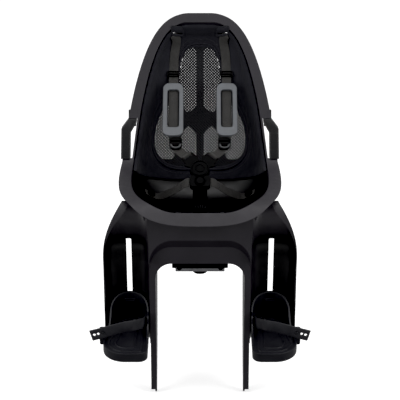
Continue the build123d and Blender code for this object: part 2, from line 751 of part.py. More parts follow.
def foot_outline():
    """Plan of the footrest: round heel, straight inner side and a wide rounded toe."""
    r, heel = FOOT_HEEL_RADIUS, FOOT_HEEL_RADIUS + FOOT_GAP
    flare_centre = Vector(r + FOOT_FLARE_RADIUS, -heel)
    drop = FOOT_LENGTH - FOOT_TOE_RADIUS - heel
    toe_centre = flare_centre - Vector(sqrt((FOOT_FLARE_RADIUS + FOOT_TOE_RADIUS) ** 2 - drop ** 2), drop)
    meet = toe_centre + (flare_centre - toe_centre).normalized() * FOOT_TOE_RADIUS
    back = ThreePointArc((-r, -heel), (0, -FOOT_GAP), (r, -heel))
    flare = TangentArc((r, -heel), meet, tangent=(0, -1))
    toe = TangentArc(meet, (toe_centre.X, -FOOT_LENGTH), tangent=flare % 1)
    front = Line((toe_centre.X, -FOOT_LENGTH), (FOOT_CORNER - r, -FOOT_LENGTH))
    bend = TangentArc((FOOT_CORNER - r, -FOOT_LENGTH), (-r, FOOT_CORNER - FOOT_LENGTH), tangent=(-1, 0))
    inner = Line((-r, FOOT_CORNER - FOOT_LENGTH), (-r, -heel))
    return make_face([back, flare, toe, front, bend, inner])


def make_footrest():
    outline = foot_outline()
    hollow = offset(outline, -FOOT_WALL)
    cup = extrude(outline, FOOT_HEIGHT) + extrude(outline, -FOOT_SKIRT)
    cup -= extrude(hollow, FOOT_HEIGHT)
    cup -= Pos(0, 0, -FOOT_SKIRT) * extrude(hollow, FOOT_SKIRT - FOOT_WALL)
    back, toe = FOOT_EDGE_ROOM, -FOOT_LENGTH - FOOT_EDGE_ROOM
    edge = Spline((back, FOOT_HEIGHT), *FOOT_EDGE, (toe, FOOT_EDGE_END))
    above = Polyline((toe, FOOT_EDGE_END), (toe, FAR), (back, FAR), (back, FOOT_HEIGHT))
    cup -= side_prism(make_face([edge, above]), -FAR / 4, FAR / 4)
    for inset in RIDGE_INSETS:
        cup += extrude(offset(outline, -inset) - offset(outline, -inset - RIDGE_WIDTH), RIDGE_HEIGHT)
    cup += Pos(0, -FOOT_GAP, 0) * Box(*HEEL_PAD, align=(Align.CENTER, Align.MAX, Align.MIN))
    neck_back = GUARD_WALL + SLIDE_GAP
    neck_size = (SLOT_WIDTH - 2 * SLIDE_GAP, neck_back + NECK_ROOT, NECK_HEIGHT)
    cup += Pos(0, neck_back, NECK_LEVEL) * Box(*neck_size, align=(Align.CENTER, Align.MAX, Align.CENTER))
    pilot = extrude(Plane.XZ * Circle(SLIDER_SCREW_RADIUS + SCREW_FIT), SLIDER_SCREW_LENGTH)
    cup -= Pos(0, neck_back, NECK_LEVEL) * pilot
    ear = [(-EAR_BACK, -FOOT_SKIRT), (-EAR_BACK, EAR_HEIGHT),
           (-EAR_FRONT, EAR_HEIGHT), (-EAR_FRONT, -FOOT_SKIRT)]
    cup += side_prism(rounded(ear, EAR_CORNER), -FOOT_HEEL_RADIUS, FOOT_WALL - FOOT_HEEL_RADIUS)
    cup += front_prism(rounded(POST, POST_CORNER), -STRAP_STUD_Y, POST_THICKNESS - STRAP_STUD_Y)
    stud = front_prism(Circle(STUD_RADIUS), -STRAP_STUD_Y - STUD_LENGTH, FOOT_GAP - STRAP_STUD_Y)
    cup += Pos(STUD_X, 0, STRAP_END_LEVEL) * stud
    return foot_plane * cup


def ribbon(stations, width, thickness, across):
    """Flat strap through a row of places; across gives its width direction, one for all or one for each."""
    line = Spline(*stations)
    sides = across if isinstance(across, list) else [across] * len(stations)
    sections = []
    for station, side in zip(stations, sides):
        run = line % line.param_at_point(station)
        sections.append(Plane(station, x_dir=side, z_dir=run) * Rectangle(width, thickness))
    return loft(sections, ruled=True)


def make_foot_strap():
    """Rubber strap from the ear on the inner side, over the instep, to the stud on the outer post."""
    start = FOOT_WALL - FOOT_HEEL_RADIUS + 2 * SEAT_GAP + FOOT_STRAP_THICKNESS / 2
    line_y = STRAP_STUD_Y + SEAT_GAP + FOOT_STRAP_THICKNESS / 2
    root = [(start + across, forward, up) for across, forward, up in STRAP_ROOT]
    bend = (STRAP_TAB_BEND[0], line_y - STRAP_TAB_BEND[1], STRAP_TAB_BEND[2])
    tab = [(across, line_y, up) for across, up in STRAP_TAB]
    places = [foot_place(*place) for place in root + STRAP_INSTEP + [bend] + tab]
    strap = ribbon(places, FOOT_STRAP_WIDTH, FOOT_STRAP_THICKNESS, foot_plane.z_dir)
    for shift in STRAP_HOLES:
        hole = front_prism(Circle(STUD_RADIUS + SLIDE_GAP), -FOOT_LENGTH, 0)
        strap -= foot_plane * (Pos(STUD_X + shift, 0, STRAP_END_LEVEL - shift * STRAP_FALL) * hole)
    return strap


def make_footrest_slider():
    """Plate behind the channel that holds the footrest in its slot."""
    outline = RectangleRounded(SLIDER_WIDTH, SLIDER_HEIGHT, SLIDER_CORNER)
    plate = extrude(Plane.XZ * outline, -SLIDER_THICKNESS)
    plate -= extrude(Plane.XZ * Circle(SLIDER_SCREW_RADIUS + SCREW_FIT), -SLIDER_THICKNESS)
    return foot_plane * (Pos(0, GUARD_WALL + SLIDE_GAP, NECK_LEVEL) * plate)


def make_footrest_screw():
    back = GUARD_WALL + SLIDE_GAP + SLIDER_THICKNESS
    head = extrude(Plane.XZ * Circle(2 * SLIDER_SCREW_RADIUS), -SLIDER_SCREW_HEAD)
    head = fillet(head.edges().sort_by(Axis.Y)[-1], SLIDER_SCREW_HEAD / 2)
    shank = extrude(Plane.XZ * Circle(SLIDER_SCREW_RADIUS), SLIDER_SCREW_LENGTH)
    return foot_plane * (Pos(0, back, NECK_LEVEL) * (head + shank))


# Harness

slope = radians(HARNESS_SLOPE)
harness_plane = Plane((0, *BUCKLE_CENTRE), x_dir=(1, 0, 0), z_dir=(0, -sin(slope), cos(slope)))


def on_harness(across, up, out=0):
    """A place in the slanting plane in which the harness hangs."""
    return harness_plane.from_local_coords(Vector(across, up, out))


def layer(sketch, low, high):
    """Extrude a sketch of the harness plane between two levels."""
    return harness_plane * (Pos(0, 0, low) * extrude(sketch, high - low))


def on_liner(share, x):
    """Middle of a strap that lies across the liner, and the direction of its width."""
    over = -LINER_THICKNESS - 4 * SEAT_GAP - WEBBING_THICKNESS / 2
    inner, outer = (bowl_point(share, x + side * WEBBING / 2, over) for side in (-1, 1))
    return (inner + outer) * 0.5, (outer - inner).normalized()


def make_shoulder_strap():
    slot_x, slot_z = SHOULDER_SLOT
    level = -WEBBING_THICKNESS / 2 - SEAT_GAP
    low = [(ADJUSTER_X, STRAP_LOW), (ADJUSTER_X + STRAP_JOG, PAD_LOW)]
    rests = [PAD_LOW + STRAP_JOG_LENGTH, *STRAP_REST, PAD_HIGH, GLIDE_UP - GLIDE_HALF_LENGTH,
             GLIDE_UP + GLIDE_HALF_LENGTH]
    stations = [on_harness(x, up, level) for x, up in low + [(PAD_X, up) for up in rests]]
    sides = [Vector(1, 0, 0)] * len(stations)
    for share, lean in STRAP_RISE:
        station, side = on_liner(share, slot_x + lean)
        stations.append(station)
        sides.append(side)
    turn, side = stations[-1], sides[-1]
    for back, rise in STRAP_TURN:
        stations.append(Vector(slot_x, turn.Y + back, slot_z + rise))
        sides.append(side)
    return ribbon(stations, WEBBING, WEBBING_THICKNESS, sides)


def make_strap_pin():
    """Rod behind the shell that the end of a shoulder strap is sewn round."""
    grow = SHELL_WALL + PIN_RADIUS + SEAT_GAP
    place, beside = (bowl_point(PIN_SHARE, SHOULDER_SLOT[0] + shift, grow) for shift in (0, 1))
    return Plane(place, z_dir=beside - place) * Cylinder(PIN_RADIUS, WEBBING + PIN_OVERHANG)


def make_shoulder_pad():
    middle, length = (PAD_LOW + PAD_HIGH) / 2, PAD_HIGH - PAD_LOW
    outer = RectangleRounded(PAD_WIDTH, length, PAD_CORNER)
    window = RectangleRounded(PAD_WIDTH - 2 * PAD_BAND, length - PAD_END_BAND, PAD_WINDOW_CORNER)
    return layer(Pos(PAD_X, middle) * (outer - Pos(0, PAD_WINDOW_UP) * window), 0, PAD_THICKNESS)


def make_strap_slider():
    frame = RectangleRounded(WEBBING + GLIDE_FRAME, GLIDE_LENGTH, GLIDE_CORNER)
    for shift in (-GLIDE_SLOT_SHIFT, GLIDE_SLOT_SHIFT):
        frame -= Pos(0, shift) * Rectangle(WEBBING + STRAP_ROOM, GLIDE_SLOT)
    return layer(Pos(PAD_X, GLIDE_UP) * frame, 0, GLIDE_THICKNESS)


def make_strap_adjuster():
    body = RectangleRounded(WEBBING + ADJUSTER_FRAME, ADJUSTER_LENGTH, ADJUSTER_CORNER)
    body -= Pos(0, ADJUSTER_SLOT_UP) * Rectangle(WEBBING + STRAP_ROOM, ADJUSTER_SLOT)
    body -= Pos(0, ADJUSTER_GRIP_UP) * SlotOverall(WEBBING - ADJUSTER_GRIP_INSET, ADJUSTER_GRIP)
    return layer(Pos(ADJUSTER_X, ADJUSTER_UP) * body, 0, ADJUSTER_THICKNESS)


def tongue_place(radius, angle):
    """A place round the buckle, as (across, up)."""
    return radius * cos(radians(angle)), radius * sin(radians(angle))


def tongue_at(radius, angle):
    """Placement of a sketch that points away from the buckle."""
    return Pos(*tongue_place(radius, angle)) * Rot(0, 0, angle - 90)


def make_buckle_tongue():
    """Curved plate that hugs the buckle, with a slot for its strap and a blade that latches."""
    inner, outer = BUCKLE_RADIUS + SEAT_GAP, BUCKLE_RADIUS + TONGUE_BAND
    near = [tongue_place(inner, angle) for angle in TONGUE_ARC]
    far = [tongue_place(outer, angle) for angle in reversed(TONGUE_ARC)]
    ends = [Line(near[-1], far[0]), Line(far[-1], near[0])]
    sector = make_face([ThreePointArc(*near), ThreePointArc(*far), *ends])
    wing = tongue_at(outer + WING_OUT, TONGUE_ANGLE) * RectangleRounded(*WING_SIZE, WING_CORNER)
    hole = tongue_at(outer + WING_SLOT_OUT, TONGUE_ANGLE) * Rectangle(*WING_SLOT)
    blade = tongue_at(BUCKLE_RADIUS - BLADE_IN, TONGUE_ANGLE) * Rectangle(*BLADE_SIZE)
    return layer(sector + wing + blade - hole, 0, TONGUE_THICKNESS)


def make_tongue_strap():
    level = -WEBBING_THICKNESS / 2 - SEAT_GAP
    start = on_harness(ADJUSTER_X - TONGUE_STRAP_IN, ADJUSTER_UP - TONGUE_STRAP_DOWN, level)
    end = on_harness(*tongue_place(BUCKLE_RADIUS + TONGUE_STRAP_OUT, TONGUE_ANGLE), level)
    run = end - start
    across = harness_plane.z_dir.cross(run).normalized()
    return ribbon([start, start + run * 0.5, end], WEBBING, WEBBING_THICKNESS, across)


def make_buckle_body():
    block = Pos(0, BLOCK_UP) * RectangleRounded(BLOCK_WIDTH, BLOCK_LENGTH, BLOCK_CORNER)
    low, high = -BUCKLE_THICKNESS / 2, BUCKLE_THICKNESS / 2
    body = layer(Circle(BUCKLE_RADIUS), low, high + BUCKLE_DOME) + layer(block, low, high)
    body -= layer(Pos(0, BLOCK_UP) * Circle(BUTTON_RADIUS + SEAT_GAP), POCKET_FLOOR, high)
    for angle in (180 - TONGUE_ANGLE, TONGUE_ANGLE):
        slot = Rectangle(BLADE_SIZE[0] + BLADE_ROOM, BLADE_SIZE[1] + BLADE_ROOM)
        slot = tongue_at(BUCKLE_RADIUS - BLADE_IN, angle) * slot
        body -= layer(slot, -SEAT_GAP, SEAT_GAP + TONGUE_THICKNESS)
    return body


def make_buckle_button():
    high = BUCKLE_THICKNESS / 2
    low, top = high + BUTTON_PROUD - BUTTON_HEIGHT, high + BUTTON_PROUD
    button = layer(Pos(0, BLOCK_UP) * Circle(BUTTON_RADIUS), low, top)
    return button - layer(Pos(0, BLOCK_UP) * Circle(BUTTON_RADIUS - BUTTON_WALL), low, high - BUCKLE_DOME)


def make_button_spring():
    outer = BUTTON_RADIUS - SPRING_INSET
    top = BUCKLE_THICKNESS / 2 - BUCKLE_DOME - BUTTON_TRAVEL - SEAT_GAP
    return layer(Pos(0, BLOCK_UP) * (Circle(outer) - Circle(outer - SPRING_THICKNESS)), POCKET_FLOOR, top)


def pan_underside():
    """Height of the pan's underside where the crotch strap passes through."""
    return (bed_line @ CROTCH_SHARE).Z - SHELL_WALL


def make_crotch_strap():
    bottom = BLOCK_UP - BLOCK_LENGTH / 2 - SEAT_GAP
    end = Vector(0, CROTCH_Y, pan_underside() - SEAT_GAP)
    bend = [end + Vector(0, forward, up) for forward, up in CROTCH_BEND]
    places = [on_harness(0, bottom), on_harness(0, bottom - CROTCH_HANG), *bend, end]
    return ribbon(places, CROTCH_WIDTH, WEBBING_THICKNESS, (1, 0, 0))


def make_crotch_pin():
    """Rod under the pan that the crotch strap is sewn round."""
    level = pan_underside() - 2 * SEAT_GAP - PIN_RADIUS
    return Pos(0, CROTCH_Y, level) * Rot(0, 90, 0) * Cylinder(PIN_RADIUS, CROTCH_WIDTH + CROTCH_PIN_OVERHANG)


def make_lap_strap():
    """Lap strap from the side of the buckle to a stud on the right-hand wall of the pan."""
    start = on_harness(BLOCK_WIDTH / 2 + SEAT_GAP, BLOCK_UP)
    over = -4 * SEAT_GAP - WEBBING_THICKNESS / 2
    wall = [bowl_point(LAP_SHARE, LAP_X + shift, over) for shift in LAP_REST]
    hanging = [start + (wall[0] - start) * share + Vector(*sag) for share, sag, turn in LAP_SAG]
    places = [start, start + Vector(*LAP_START), *hanging, *wall]
    turns = [0, 0] + [turn for share, sag, turn in LAP_SAG] + [1] * len(wall)
    first, last = harness_plane.y_dir, lap_plane.y_dir
    strap = ribbon(places, WEBBING, WEBBING_THICKNESS, [first + (last - first) * turn for turn in turns])
    return strap - lap_plane * Cylinder(LAP_STUD_RADIUS + SLIDE_GAP, 6 * WEBBING_THICKNESS)


def make_lap_stud():
    low = LAP_STUD_LIFT
    head = Pos(0, 0, low) * extrude(Circle(LAP_STUD_HEAD), LAP_STUD_THICKNESS)
    head = fillet(head.edges().sort_by(Axis.Z)[-1], LAP_STUD_THICKNESS / 2)
    shank = Pos(0, 0, -2 * SHELL_WALL) * extrude(Circle(LAP_STUD_RADIUS), low + 2 * SHELL_WALL)
    nut = extrude(RegularPolygon(2 * LAP_STUD_RADIUS, 6), LAP_NUT_SHARE * SHELL_WALL)
    nut = Pos(0, 0, -3 * SHELL_WALL) * nut
    return lap_plane * (head + shank + nut)


# Carrier clamp

def rails(radius):
    rail = Pos(RAIL_SPACING / 2, 0, 0) * Rot(90, 0, 0) * Cylinder(radius, FAR)
    return both_sides(rail)


def make_mount_plate():
    plate = extrude(RectangleRounded(2 * PLATE_HALF_WIDTH, CLAMP_LENGTH, PLATE_CORNER), BRIDGE_HEIGHT)
    plate -= rails(RAIL_RADIUS + RAIL_FIT)
    plate -= extrude(Circle(BOLT_RADIUS + SCREW_FIT), BRIDGE_HEIGHT)
    plate -= Pos(0, 0, BRIDGE_HEIGHT - BOLT_HEAD) * extrude(Circle(2 * BOLT_RADIUS + SCREW_FIT), BOLT_HEAD)
    for x, y in plate_screw_places():
        plate -= Pos(x, y) * extrude(Circle(PLATE_SCREW_RADIUS + SCREW_FIT), BRIDGE_HEIGHT)
        plate -= Pos(x, y) * extrude(Circle(2 * PLATE_SCREW_RADIUS + SCREW_FIT), PLATE_SCREW_HEAD + SEAT_GAP)
    return plate


def plate_screw_places():
    return [(side * PLATE_SCREW_X, y) for side in (-1, 1) for y in PLATE_SCREW_Y]


def make_plate_screws():
    screws = []
    for x, y in plate_screw_places():
        head = Pos(x, y, SEAT_GAP) * extrude(Circle(2 * PLATE_SCREW_RADIUS), PLATE_SCREW_HEAD)
        screws.append(head + Pos(x, y, SEAT_GAP) * extrude(Circle(PLATE_SCREW_RADIUS), PLATE_SCREW_LENGTH))
    return Compound(screws)


def make_plate_nuts():
    nut = extrude(RegularPolygon(PLATE_NUT_RADIUS, 6) - Circle(PLATE_SCREW_RADIUS + SCREW_FIT), PLATE_NUT)
    return Compound([Pos(x, y, BRIDGE_HEIGHT + GUARD_WALL) * nut for x, y in plate_screw_places()])


def make_clamp_bolt():
    head = Pos(0, 0, BRIDGE_HEIGHT - BOLT_HEAD) * extrude(Circle(2 * BOLT_RADIUS), BOLT_HEAD)
    return head + Pos(0, 0, BOLT_END) * extrude(Circle(BOLT_RADIUS), BRIDGE_HEIGHT - BOLT_END)


def make_clamp_jaw():
    plan = RectangleRounded(2 * JAW_HALF_WIDTH, CLAMP_LENGTH, JAW_CORNER) - Circle(BOLT_RADIUS + SLIDE_GAP)
    bar = Pos(0, 0, -JAW_THICKNESS) * extrude(plan, JAW_THICKNESS - JAW_GAP)
    return bar - rails(RAIL_RADIUS + RAIL_FIT)


def make_clamp_knob():
    top = -JAW_THICKNESS - KNOB_GAP
    grip = Circle(KNOB_RADIUS)
    for flute in range(KNOB_FLUTES):
        turn = Rot(0, 0, 360 / KNOB_FLUTES * (flute + 0.5))
        grip -= turn * Pos(KNOB_RADIUS + FLUTE_OUT, 0) * Circle(FLUTE_RADIUS)
    knob = Pos(0, 0, KNOB_BOTTOM) * extrude(grip, top - KNOB_BOTTOM)
    dome = Pos(0, 0, KNOB_BOTTOM) * extrude(Circle(KNOB_RADIUS), top - KNOB_BOTTOM)
    knob = knob & fillet(dome.edges().sort_by(Axis.Z)[0], KNOB_ROUNDING)
    bore = extrude(Circle(BOLT_RADIUS + THREAD_FIT), top - BOLT_END + BOLT_ROOM)
    return knob - Pos(0, 0, BOLT_END - BOLT_ROOM) * bore


def make_shell_screws():
    screws = []
    for x, y in shell_screw_places():
        place = Pos(x, y, pan_seat(x, y))
        head = extrude(Circle(SHELL_SCREW_HEAD), SHELL_SCREW_HEAD_HEIGHT)
        head = fillet(head.edges().sort_by(Axis.Z)[-1], SHELL_SCREW_HEAD_HEIGHT / 2)
        screws.append(place * (head + extrude(Circle(SHELL_SCREW_RADIUS), -SHELL_SCREW_LENGTH)))
    return Compound(screws)


# Parts

def mirrored(solid):
    return mirror(solid, about=Plane.YZ)


parts = {
    "seat_shell": make_seat_shell(),
    "back_liner": make_back_liner(),
    "back_mesh": make_back_mesh(),
    "leg_guard": make_leg_guard(),
    "shell_screws": make_shell_screws(),
    "handle_screws": make_handle_screws(),
    "buckle_body": make_buckle_body(),
    "buckle_button": make_buckle_button(),
    "button_spring": make_button_spring(),
    "crotch_strap": make_crotch_strap(),
    "crotch_pin": make_crotch_pin(),
    "mount_plate": make_mount_plate(),
    "plate_screws": make_plate_screws(),
    "plate_nuts": make_plate_nuts(),
    "clamp_bolt": make_clamp_bolt(),
    "clamp_jaw": make_clamp_jaw(),
    "clamp_knob": make_clamp_knob(),
}

pairs = {
    "side_handle": make_side_handle(),
    "footrest": make_footrest(),
    "foot_strap": make_foot_strap(),
    "footrest_slider": make_footrest_slider(),
    "footrest_screw": make_footrest_screw(),
    "shoulder_strap": make_shoulder_strap(),
    "shoulder_pad": make_shoulder_pad(),
    "strap_slider": make_strap_slider(),
    "strap_adjuster": make_strap_adjuster(),
    "tongue_strap": make_tongue_strap(),
    "buckle_tongue": make_buckle_tongue(),
    "lap_strap": make_lap_strap(),
    "lap_stud": make_lap_stud(),
    "strap_pin": make_strap_pin(),
}
for name, solid in pairs.items():
    parts[f"{name}_right"] = solid
    parts[f"{name}_left"] = mirrored(solid)

for name, solid in parts.items():
    export_step(solid, f"parts/{name}.step")
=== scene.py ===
import json
import math

import bmesh
import bpy
import numpy as np
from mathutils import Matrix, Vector
from mathutils.bvhtree import BVHTree

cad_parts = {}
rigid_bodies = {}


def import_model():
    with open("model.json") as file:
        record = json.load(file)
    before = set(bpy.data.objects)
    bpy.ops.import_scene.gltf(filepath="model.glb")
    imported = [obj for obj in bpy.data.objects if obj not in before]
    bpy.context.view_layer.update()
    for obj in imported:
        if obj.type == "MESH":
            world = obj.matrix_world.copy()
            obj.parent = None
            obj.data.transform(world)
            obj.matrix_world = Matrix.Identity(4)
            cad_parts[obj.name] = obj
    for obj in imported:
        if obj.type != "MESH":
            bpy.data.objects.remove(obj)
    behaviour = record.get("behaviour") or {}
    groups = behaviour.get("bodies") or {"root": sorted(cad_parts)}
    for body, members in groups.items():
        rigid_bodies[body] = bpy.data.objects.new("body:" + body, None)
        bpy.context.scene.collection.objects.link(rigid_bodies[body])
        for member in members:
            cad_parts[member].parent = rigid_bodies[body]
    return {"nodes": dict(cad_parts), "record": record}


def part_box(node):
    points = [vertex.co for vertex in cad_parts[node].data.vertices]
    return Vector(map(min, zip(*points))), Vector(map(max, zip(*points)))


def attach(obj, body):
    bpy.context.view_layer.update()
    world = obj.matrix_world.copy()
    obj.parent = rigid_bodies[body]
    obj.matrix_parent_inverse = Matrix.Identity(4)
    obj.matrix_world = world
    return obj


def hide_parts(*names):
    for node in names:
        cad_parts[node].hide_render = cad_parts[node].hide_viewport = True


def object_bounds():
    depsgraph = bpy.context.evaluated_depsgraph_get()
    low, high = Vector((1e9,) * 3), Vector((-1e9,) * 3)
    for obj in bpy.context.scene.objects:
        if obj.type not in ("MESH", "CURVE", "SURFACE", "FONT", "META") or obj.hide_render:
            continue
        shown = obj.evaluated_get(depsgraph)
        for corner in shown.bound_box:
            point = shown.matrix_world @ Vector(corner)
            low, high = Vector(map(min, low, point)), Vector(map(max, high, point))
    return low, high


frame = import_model()
cad_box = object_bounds()
nodes = frame["nodes"]
scene = bpy.context.scene
SIDES = (("left", -1), ("right", 1))


# Camera, at the photograph's viewing angle

LENS_MM = 112.5
CAMERA_PLACE = (0, -2.4543, 0.8337)
CAMERA_TARGET = (0, 0.045, 0.117)


def look(place, target):
    return (Vector(target) - Vector(place)).to_track_quat("-Z", "Y").to_euler()


camera = bpy.data.objects.new("camera", bpy.data.cameras.new("camera"))
camera.data.lens = LENS_MM
camera.location = CAMERA_PLACE
camera.rotation_euler = look(CAMERA_PLACE, CAMERA_TARGET)
scene.collection.objects.link(camera)
scene.camera = camera


# Shader helpers

NOISE_LOW, NOISE_HIGH = 0.3, 0.7  # where most values of a noise texture lie
EDGE_FLAT, EDGE_SHARP = 0.99, 0.8  # cosine between the bevelled and the plain normal, off and on an edge
WEAR_HIGHLIGHT_LOW, WEAR_HIGHLIGHT_HIGH = 0.35, 0.7  # noise values at which an edge starts to lighten and is fully lightened, as wear and as a painted highlight
BEVEL_SAMPLES = 6


def start(name, colour, roughness, **sockets):
    """A Principled material, its node tree and its shader."""
    material = bpy.data.materials.new(name)
    material.use_nodes = True
    tree = material.node_tree
    shader = tree.nodes["Principled BSDF"]
    shader.inputs["Base Color"].default_value = (*colour, 1)
    shader.inputs["Roughness"].default_value = roughness
    for socket, value in sockets.items():
        shader.inputs[socket.replace("_", " ")].default_value = value
    return material, tree, shader


def add(tree, kind, inputs, **settings):
    made = tree.nodes.new("ShaderNode" + kind)
    for key, value in settings.items():
        setattr(made, key, value)
    for key, value in inputs.items():
        if isinstance(value, bpy.types.NodeSocket):
            tree.links.new(value, made.inputs[key])
        else:
            made.inputs[key].default_value = value
    return made


def coordinates(tree, which="Object"):
    return add(tree, "TexCoord", {}).outputs[which]


def noise(tree, where, scale, detail):
    return add(tree, "TexNoise", {"Vector": where, "Scale": scale, "Detail": detail}).outputs["Fac"]


def remap(tree, value, low, high, start_at=0.0, end_at=1.0):
    sockets = {"Value": value, "From Min": low, "From Max": high, "To Min": start_at, "To Max": end_at}
    return add(tree, "MapRange", sockets).outputs["Result"]


def spread(tree, texture, low=0.0, high=1.0):
    """A noise texture's usual values, stretched over a range."""
    return remap(tree, texture, NOISE_LOW, NOISE_HIGH, low, high)


def calculate(tree, operation, first, second=0.0):
    return add(tree, "Math", {0: first, 1: second}, operation=operation).outputs["Value"]


def blend_colour(tree, share, first, second):
    inputs = {0: share}
    for socket, colour in ((6, first), (7, second)):
        inputs[socket] = colour if isinstance(colour, bpy.types.NodeSocket) else (*colour, 1)
    return add(tree, "Mix", inputs, data_type="RGBA").outputs[2]


def bands(tree, value, period):
    """Sine bands of a coordinate, from -1 to 1."""
    return calculate(tree, "SINE", calculate(tree, "MULTIPLY", value, 2 * math.pi / period))


def tinted(colour, factor):
    return tuple(min(1.0, channel * factor) for channel in colour)


def mottled(tree, share, colour, dark, light):
    """A colour that runs from a darker to a lighter tint of itself."""
    return blend_colour(tree, share, tinted(colour, dark), tinted(colour, light))


def edges_worn_and_highlit(tree, radius, noisy):
    """Rounded edge normal, and a mask of edges that are lightened, partly as wear and partly as a painted
    highlight.
    """
    soft = add(tree, "Bevel", {"Radius": radius}, samples=BEVEL_SAMPLES).outputs["Normal"]
    plain = add(tree, "NewGeometry", {}).outputs["Normal"]
    same = add(tree, "VectorMath", {0: soft, 1: plain}, operation="DOT_PRODUCT").outputs["Value"]
    edge = remap(tree, same, EDGE_FLAT, EDGE_SHARP)
    return soft, calculate(tree, "MULTIPLY", edge, remap(tree, noisy, WEAR_HIGHLIGHT_LOW, WEAR_HIGHLIGHT_HIGH))


def finish_material(tree, shader, colour, rough, height, distance, strength, normal=None):
    tree.links.new(colour, shader.inputs["Base Color"])
    tree.links.new(rough, shader.inputs["Roughness"])
    sockets = {"Height": height, "Distance": distance, "Strength": strength}
    if normal is not None:
        sockets["Normal"] = normal
    bump = add(tree, "Bump", sockets)
    tree.links.new(bump.outputs["Normal"], shader.inputs["Normal"])


# Zones of the mouldings that are smoother and painted deep black as shade: the shell's scoop and the leg
# channels

CHANNEL_SIDE = (0.1, 0.12)  # distance aside over which the zone of the leg channels starts
CHANNEL_TOP = (0.12, 0.05)  # height over which it starts
FRONT_PLANE = (0.795, -0.607, 0.163)  # planes of the shell's opening: y and z of the normal, and offset
PAN_PLANE = (0.16, -0.987, 0.1608)
BACK_PLANE = (0.924, -0.383, -0.0333)
RIM_FADE = (0.008, 0.016)  # depth behind the planes over which the scoop's zone starts


def in_leg_channel(tree, where):
    """Mask of the leg guard's outer sides below the knees, where painted shade darkens the channels and the
    finish is smoother.
    """
    axes = add(tree, "SeparateXYZ", {"Vector": where}).outputs
    aside = remap(tree, calculate(tree, "ABSOLUTE", axes["X"]), *CHANNEL_SIDE)
    return calculate(tree, "MULTIPLY", aside, remap(tree, axes["Z"], *CHANNEL_TOP))


def behind_rim(tree, where):
    """Mask of the shell's scoop, from the depth behind the planes of its lip, pan and back; there painted
    shade darkens the recess and the finish is smoother.
    """
    def depth(y, z, offset):
        share = add(tree, "VectorMath", {0: where, 1: (0, y, z)}, operation="DOT_PRODUCT").outputs["Value"]
        return calculate(tree, "ADD", share, offset)

    pan = calculate(tree, "MINIMUM", depth(*FRONT_PLANE), depth(*PAN_PLANE))
    return remap(tree, calculate(tree, "MAXIMUM", pan, depth(*BACK_PLANE)), *RIM_FADE)


# Materials: scales of textures are per metre, lengths are in metres

MOULD_MOTTLE, MOULD_WEAR_HIGHLIGHT, MOULD_GLOSS = 24, 90, 60
MOULD_BUMP = 0.35
MOULD_ROUGHER = 0.07  # how far the roughness goes up and down; the same for the next ones
# the first value darkens the masked zones' colour as painted shade; the other two make those zones smoother
# and less grainy
PAINTED_SHADE_TINT, POLISH_GLOSS, POLISH_GRAIN = 0.2, 0.1, 0.3
WEAVE_FUZZ, WEAVE_MOTTLE = 900, 30
WEAVE_DEPTH, WEAVE_BUMP, WEAVE_ROUGHER = 0.0003, 0.5, 0.08
RIB_PITCH, PICK_PITCH, PICK_WAVE = 0.0016, 0.0012, 0.0003
WEBBING_MOTTLE, WEBBING_GLOSS = 60, 400
WEBBING_DEPTH, WEBBING_BUMP, WEBBING_ROUGHER = 0.0003, 0.6, 0.06
RUBBER_GRAIN, RUBBER_SMUDGE, RUBBER_EDGE = 1100, 45, 0.001
RUBBER_DEPTH, RUBBER_BUMP, RUBBER_ROUGHER = 0.00015, 0.4, 0.1
STEEL_CLOUD, STEEL_DRAWN, STEEL_EDGE = 80, (60, 1500, 1500), 0.0006
STEEL_DEPTH, STEEL_BUMP, STEEL_SMOOTHER, STEEL_ROUGHER = 0.00006, 0.5, 0.1, 0.12


def moulded(name, colour, roughness, grain=620, depth=0.00025, wear_and_highlight=1.7, edge=0.0012, specular=0.5,
            polished_and_shaded=None):
    """Moulded plastic with a fine spark grain and edges lightened as wear and as a painted highlight; in a
    masked zone smoother, and darkened to deep black by painted shade.
    """
    material, tree, shader = start(name, colour, roughness, Specular_IOR_Level=specular)
    where = coordinates(tree)
    height = noise(tree, where, grain, detail=2)
    soft, worn_and_highlit = edges_worn_and_highlit(tree, edge, noise(tree, where, MOULD_WEAR_HIGHLIGHT, detail=3))
    mottle = noise(tree, where, MOULD_MOTTLE, detail=4)
    base = mottled(tree, spread(tree, mottle), colour, dark=0.86, light=1.14)
    # edges lightened: partly wear, partly a painted highlight on rounded edges
    base = blend_colour(tree, worn_and_highlit, base, tinted(colour, wear_and_highlight))
    gloss = noise(tree, where, MOULD_GLOSS, detail=5)
    rough = spread(tree, gloss, roughness - MOULD_ROUGHER, roughness + MOULD_ROUGHER)
    # painted shade: the masked zone's colour is darkened towards black, and the zone is also made smoother
    # and less grainy
    if polished_and_shaded is not None:
        share = polished_and_shaded(tree, where)
        base = blend_colour(tree, share, base, tinted(colour, PAINTED_SHADE_TINT))
        rough = calculate(tree, "SUBTRACT", rough, calculate(tree, "MULTIPLY", share, POLISH_GLOSS))
        height = calculate(tree, "MULTIPLY", height, remap(tree, share, 0, 1, 1, POLISH_GRAIN))
    finish_material(tree, shader, base, rough, height, depth, MOULD_BUMP, soft)
    return material


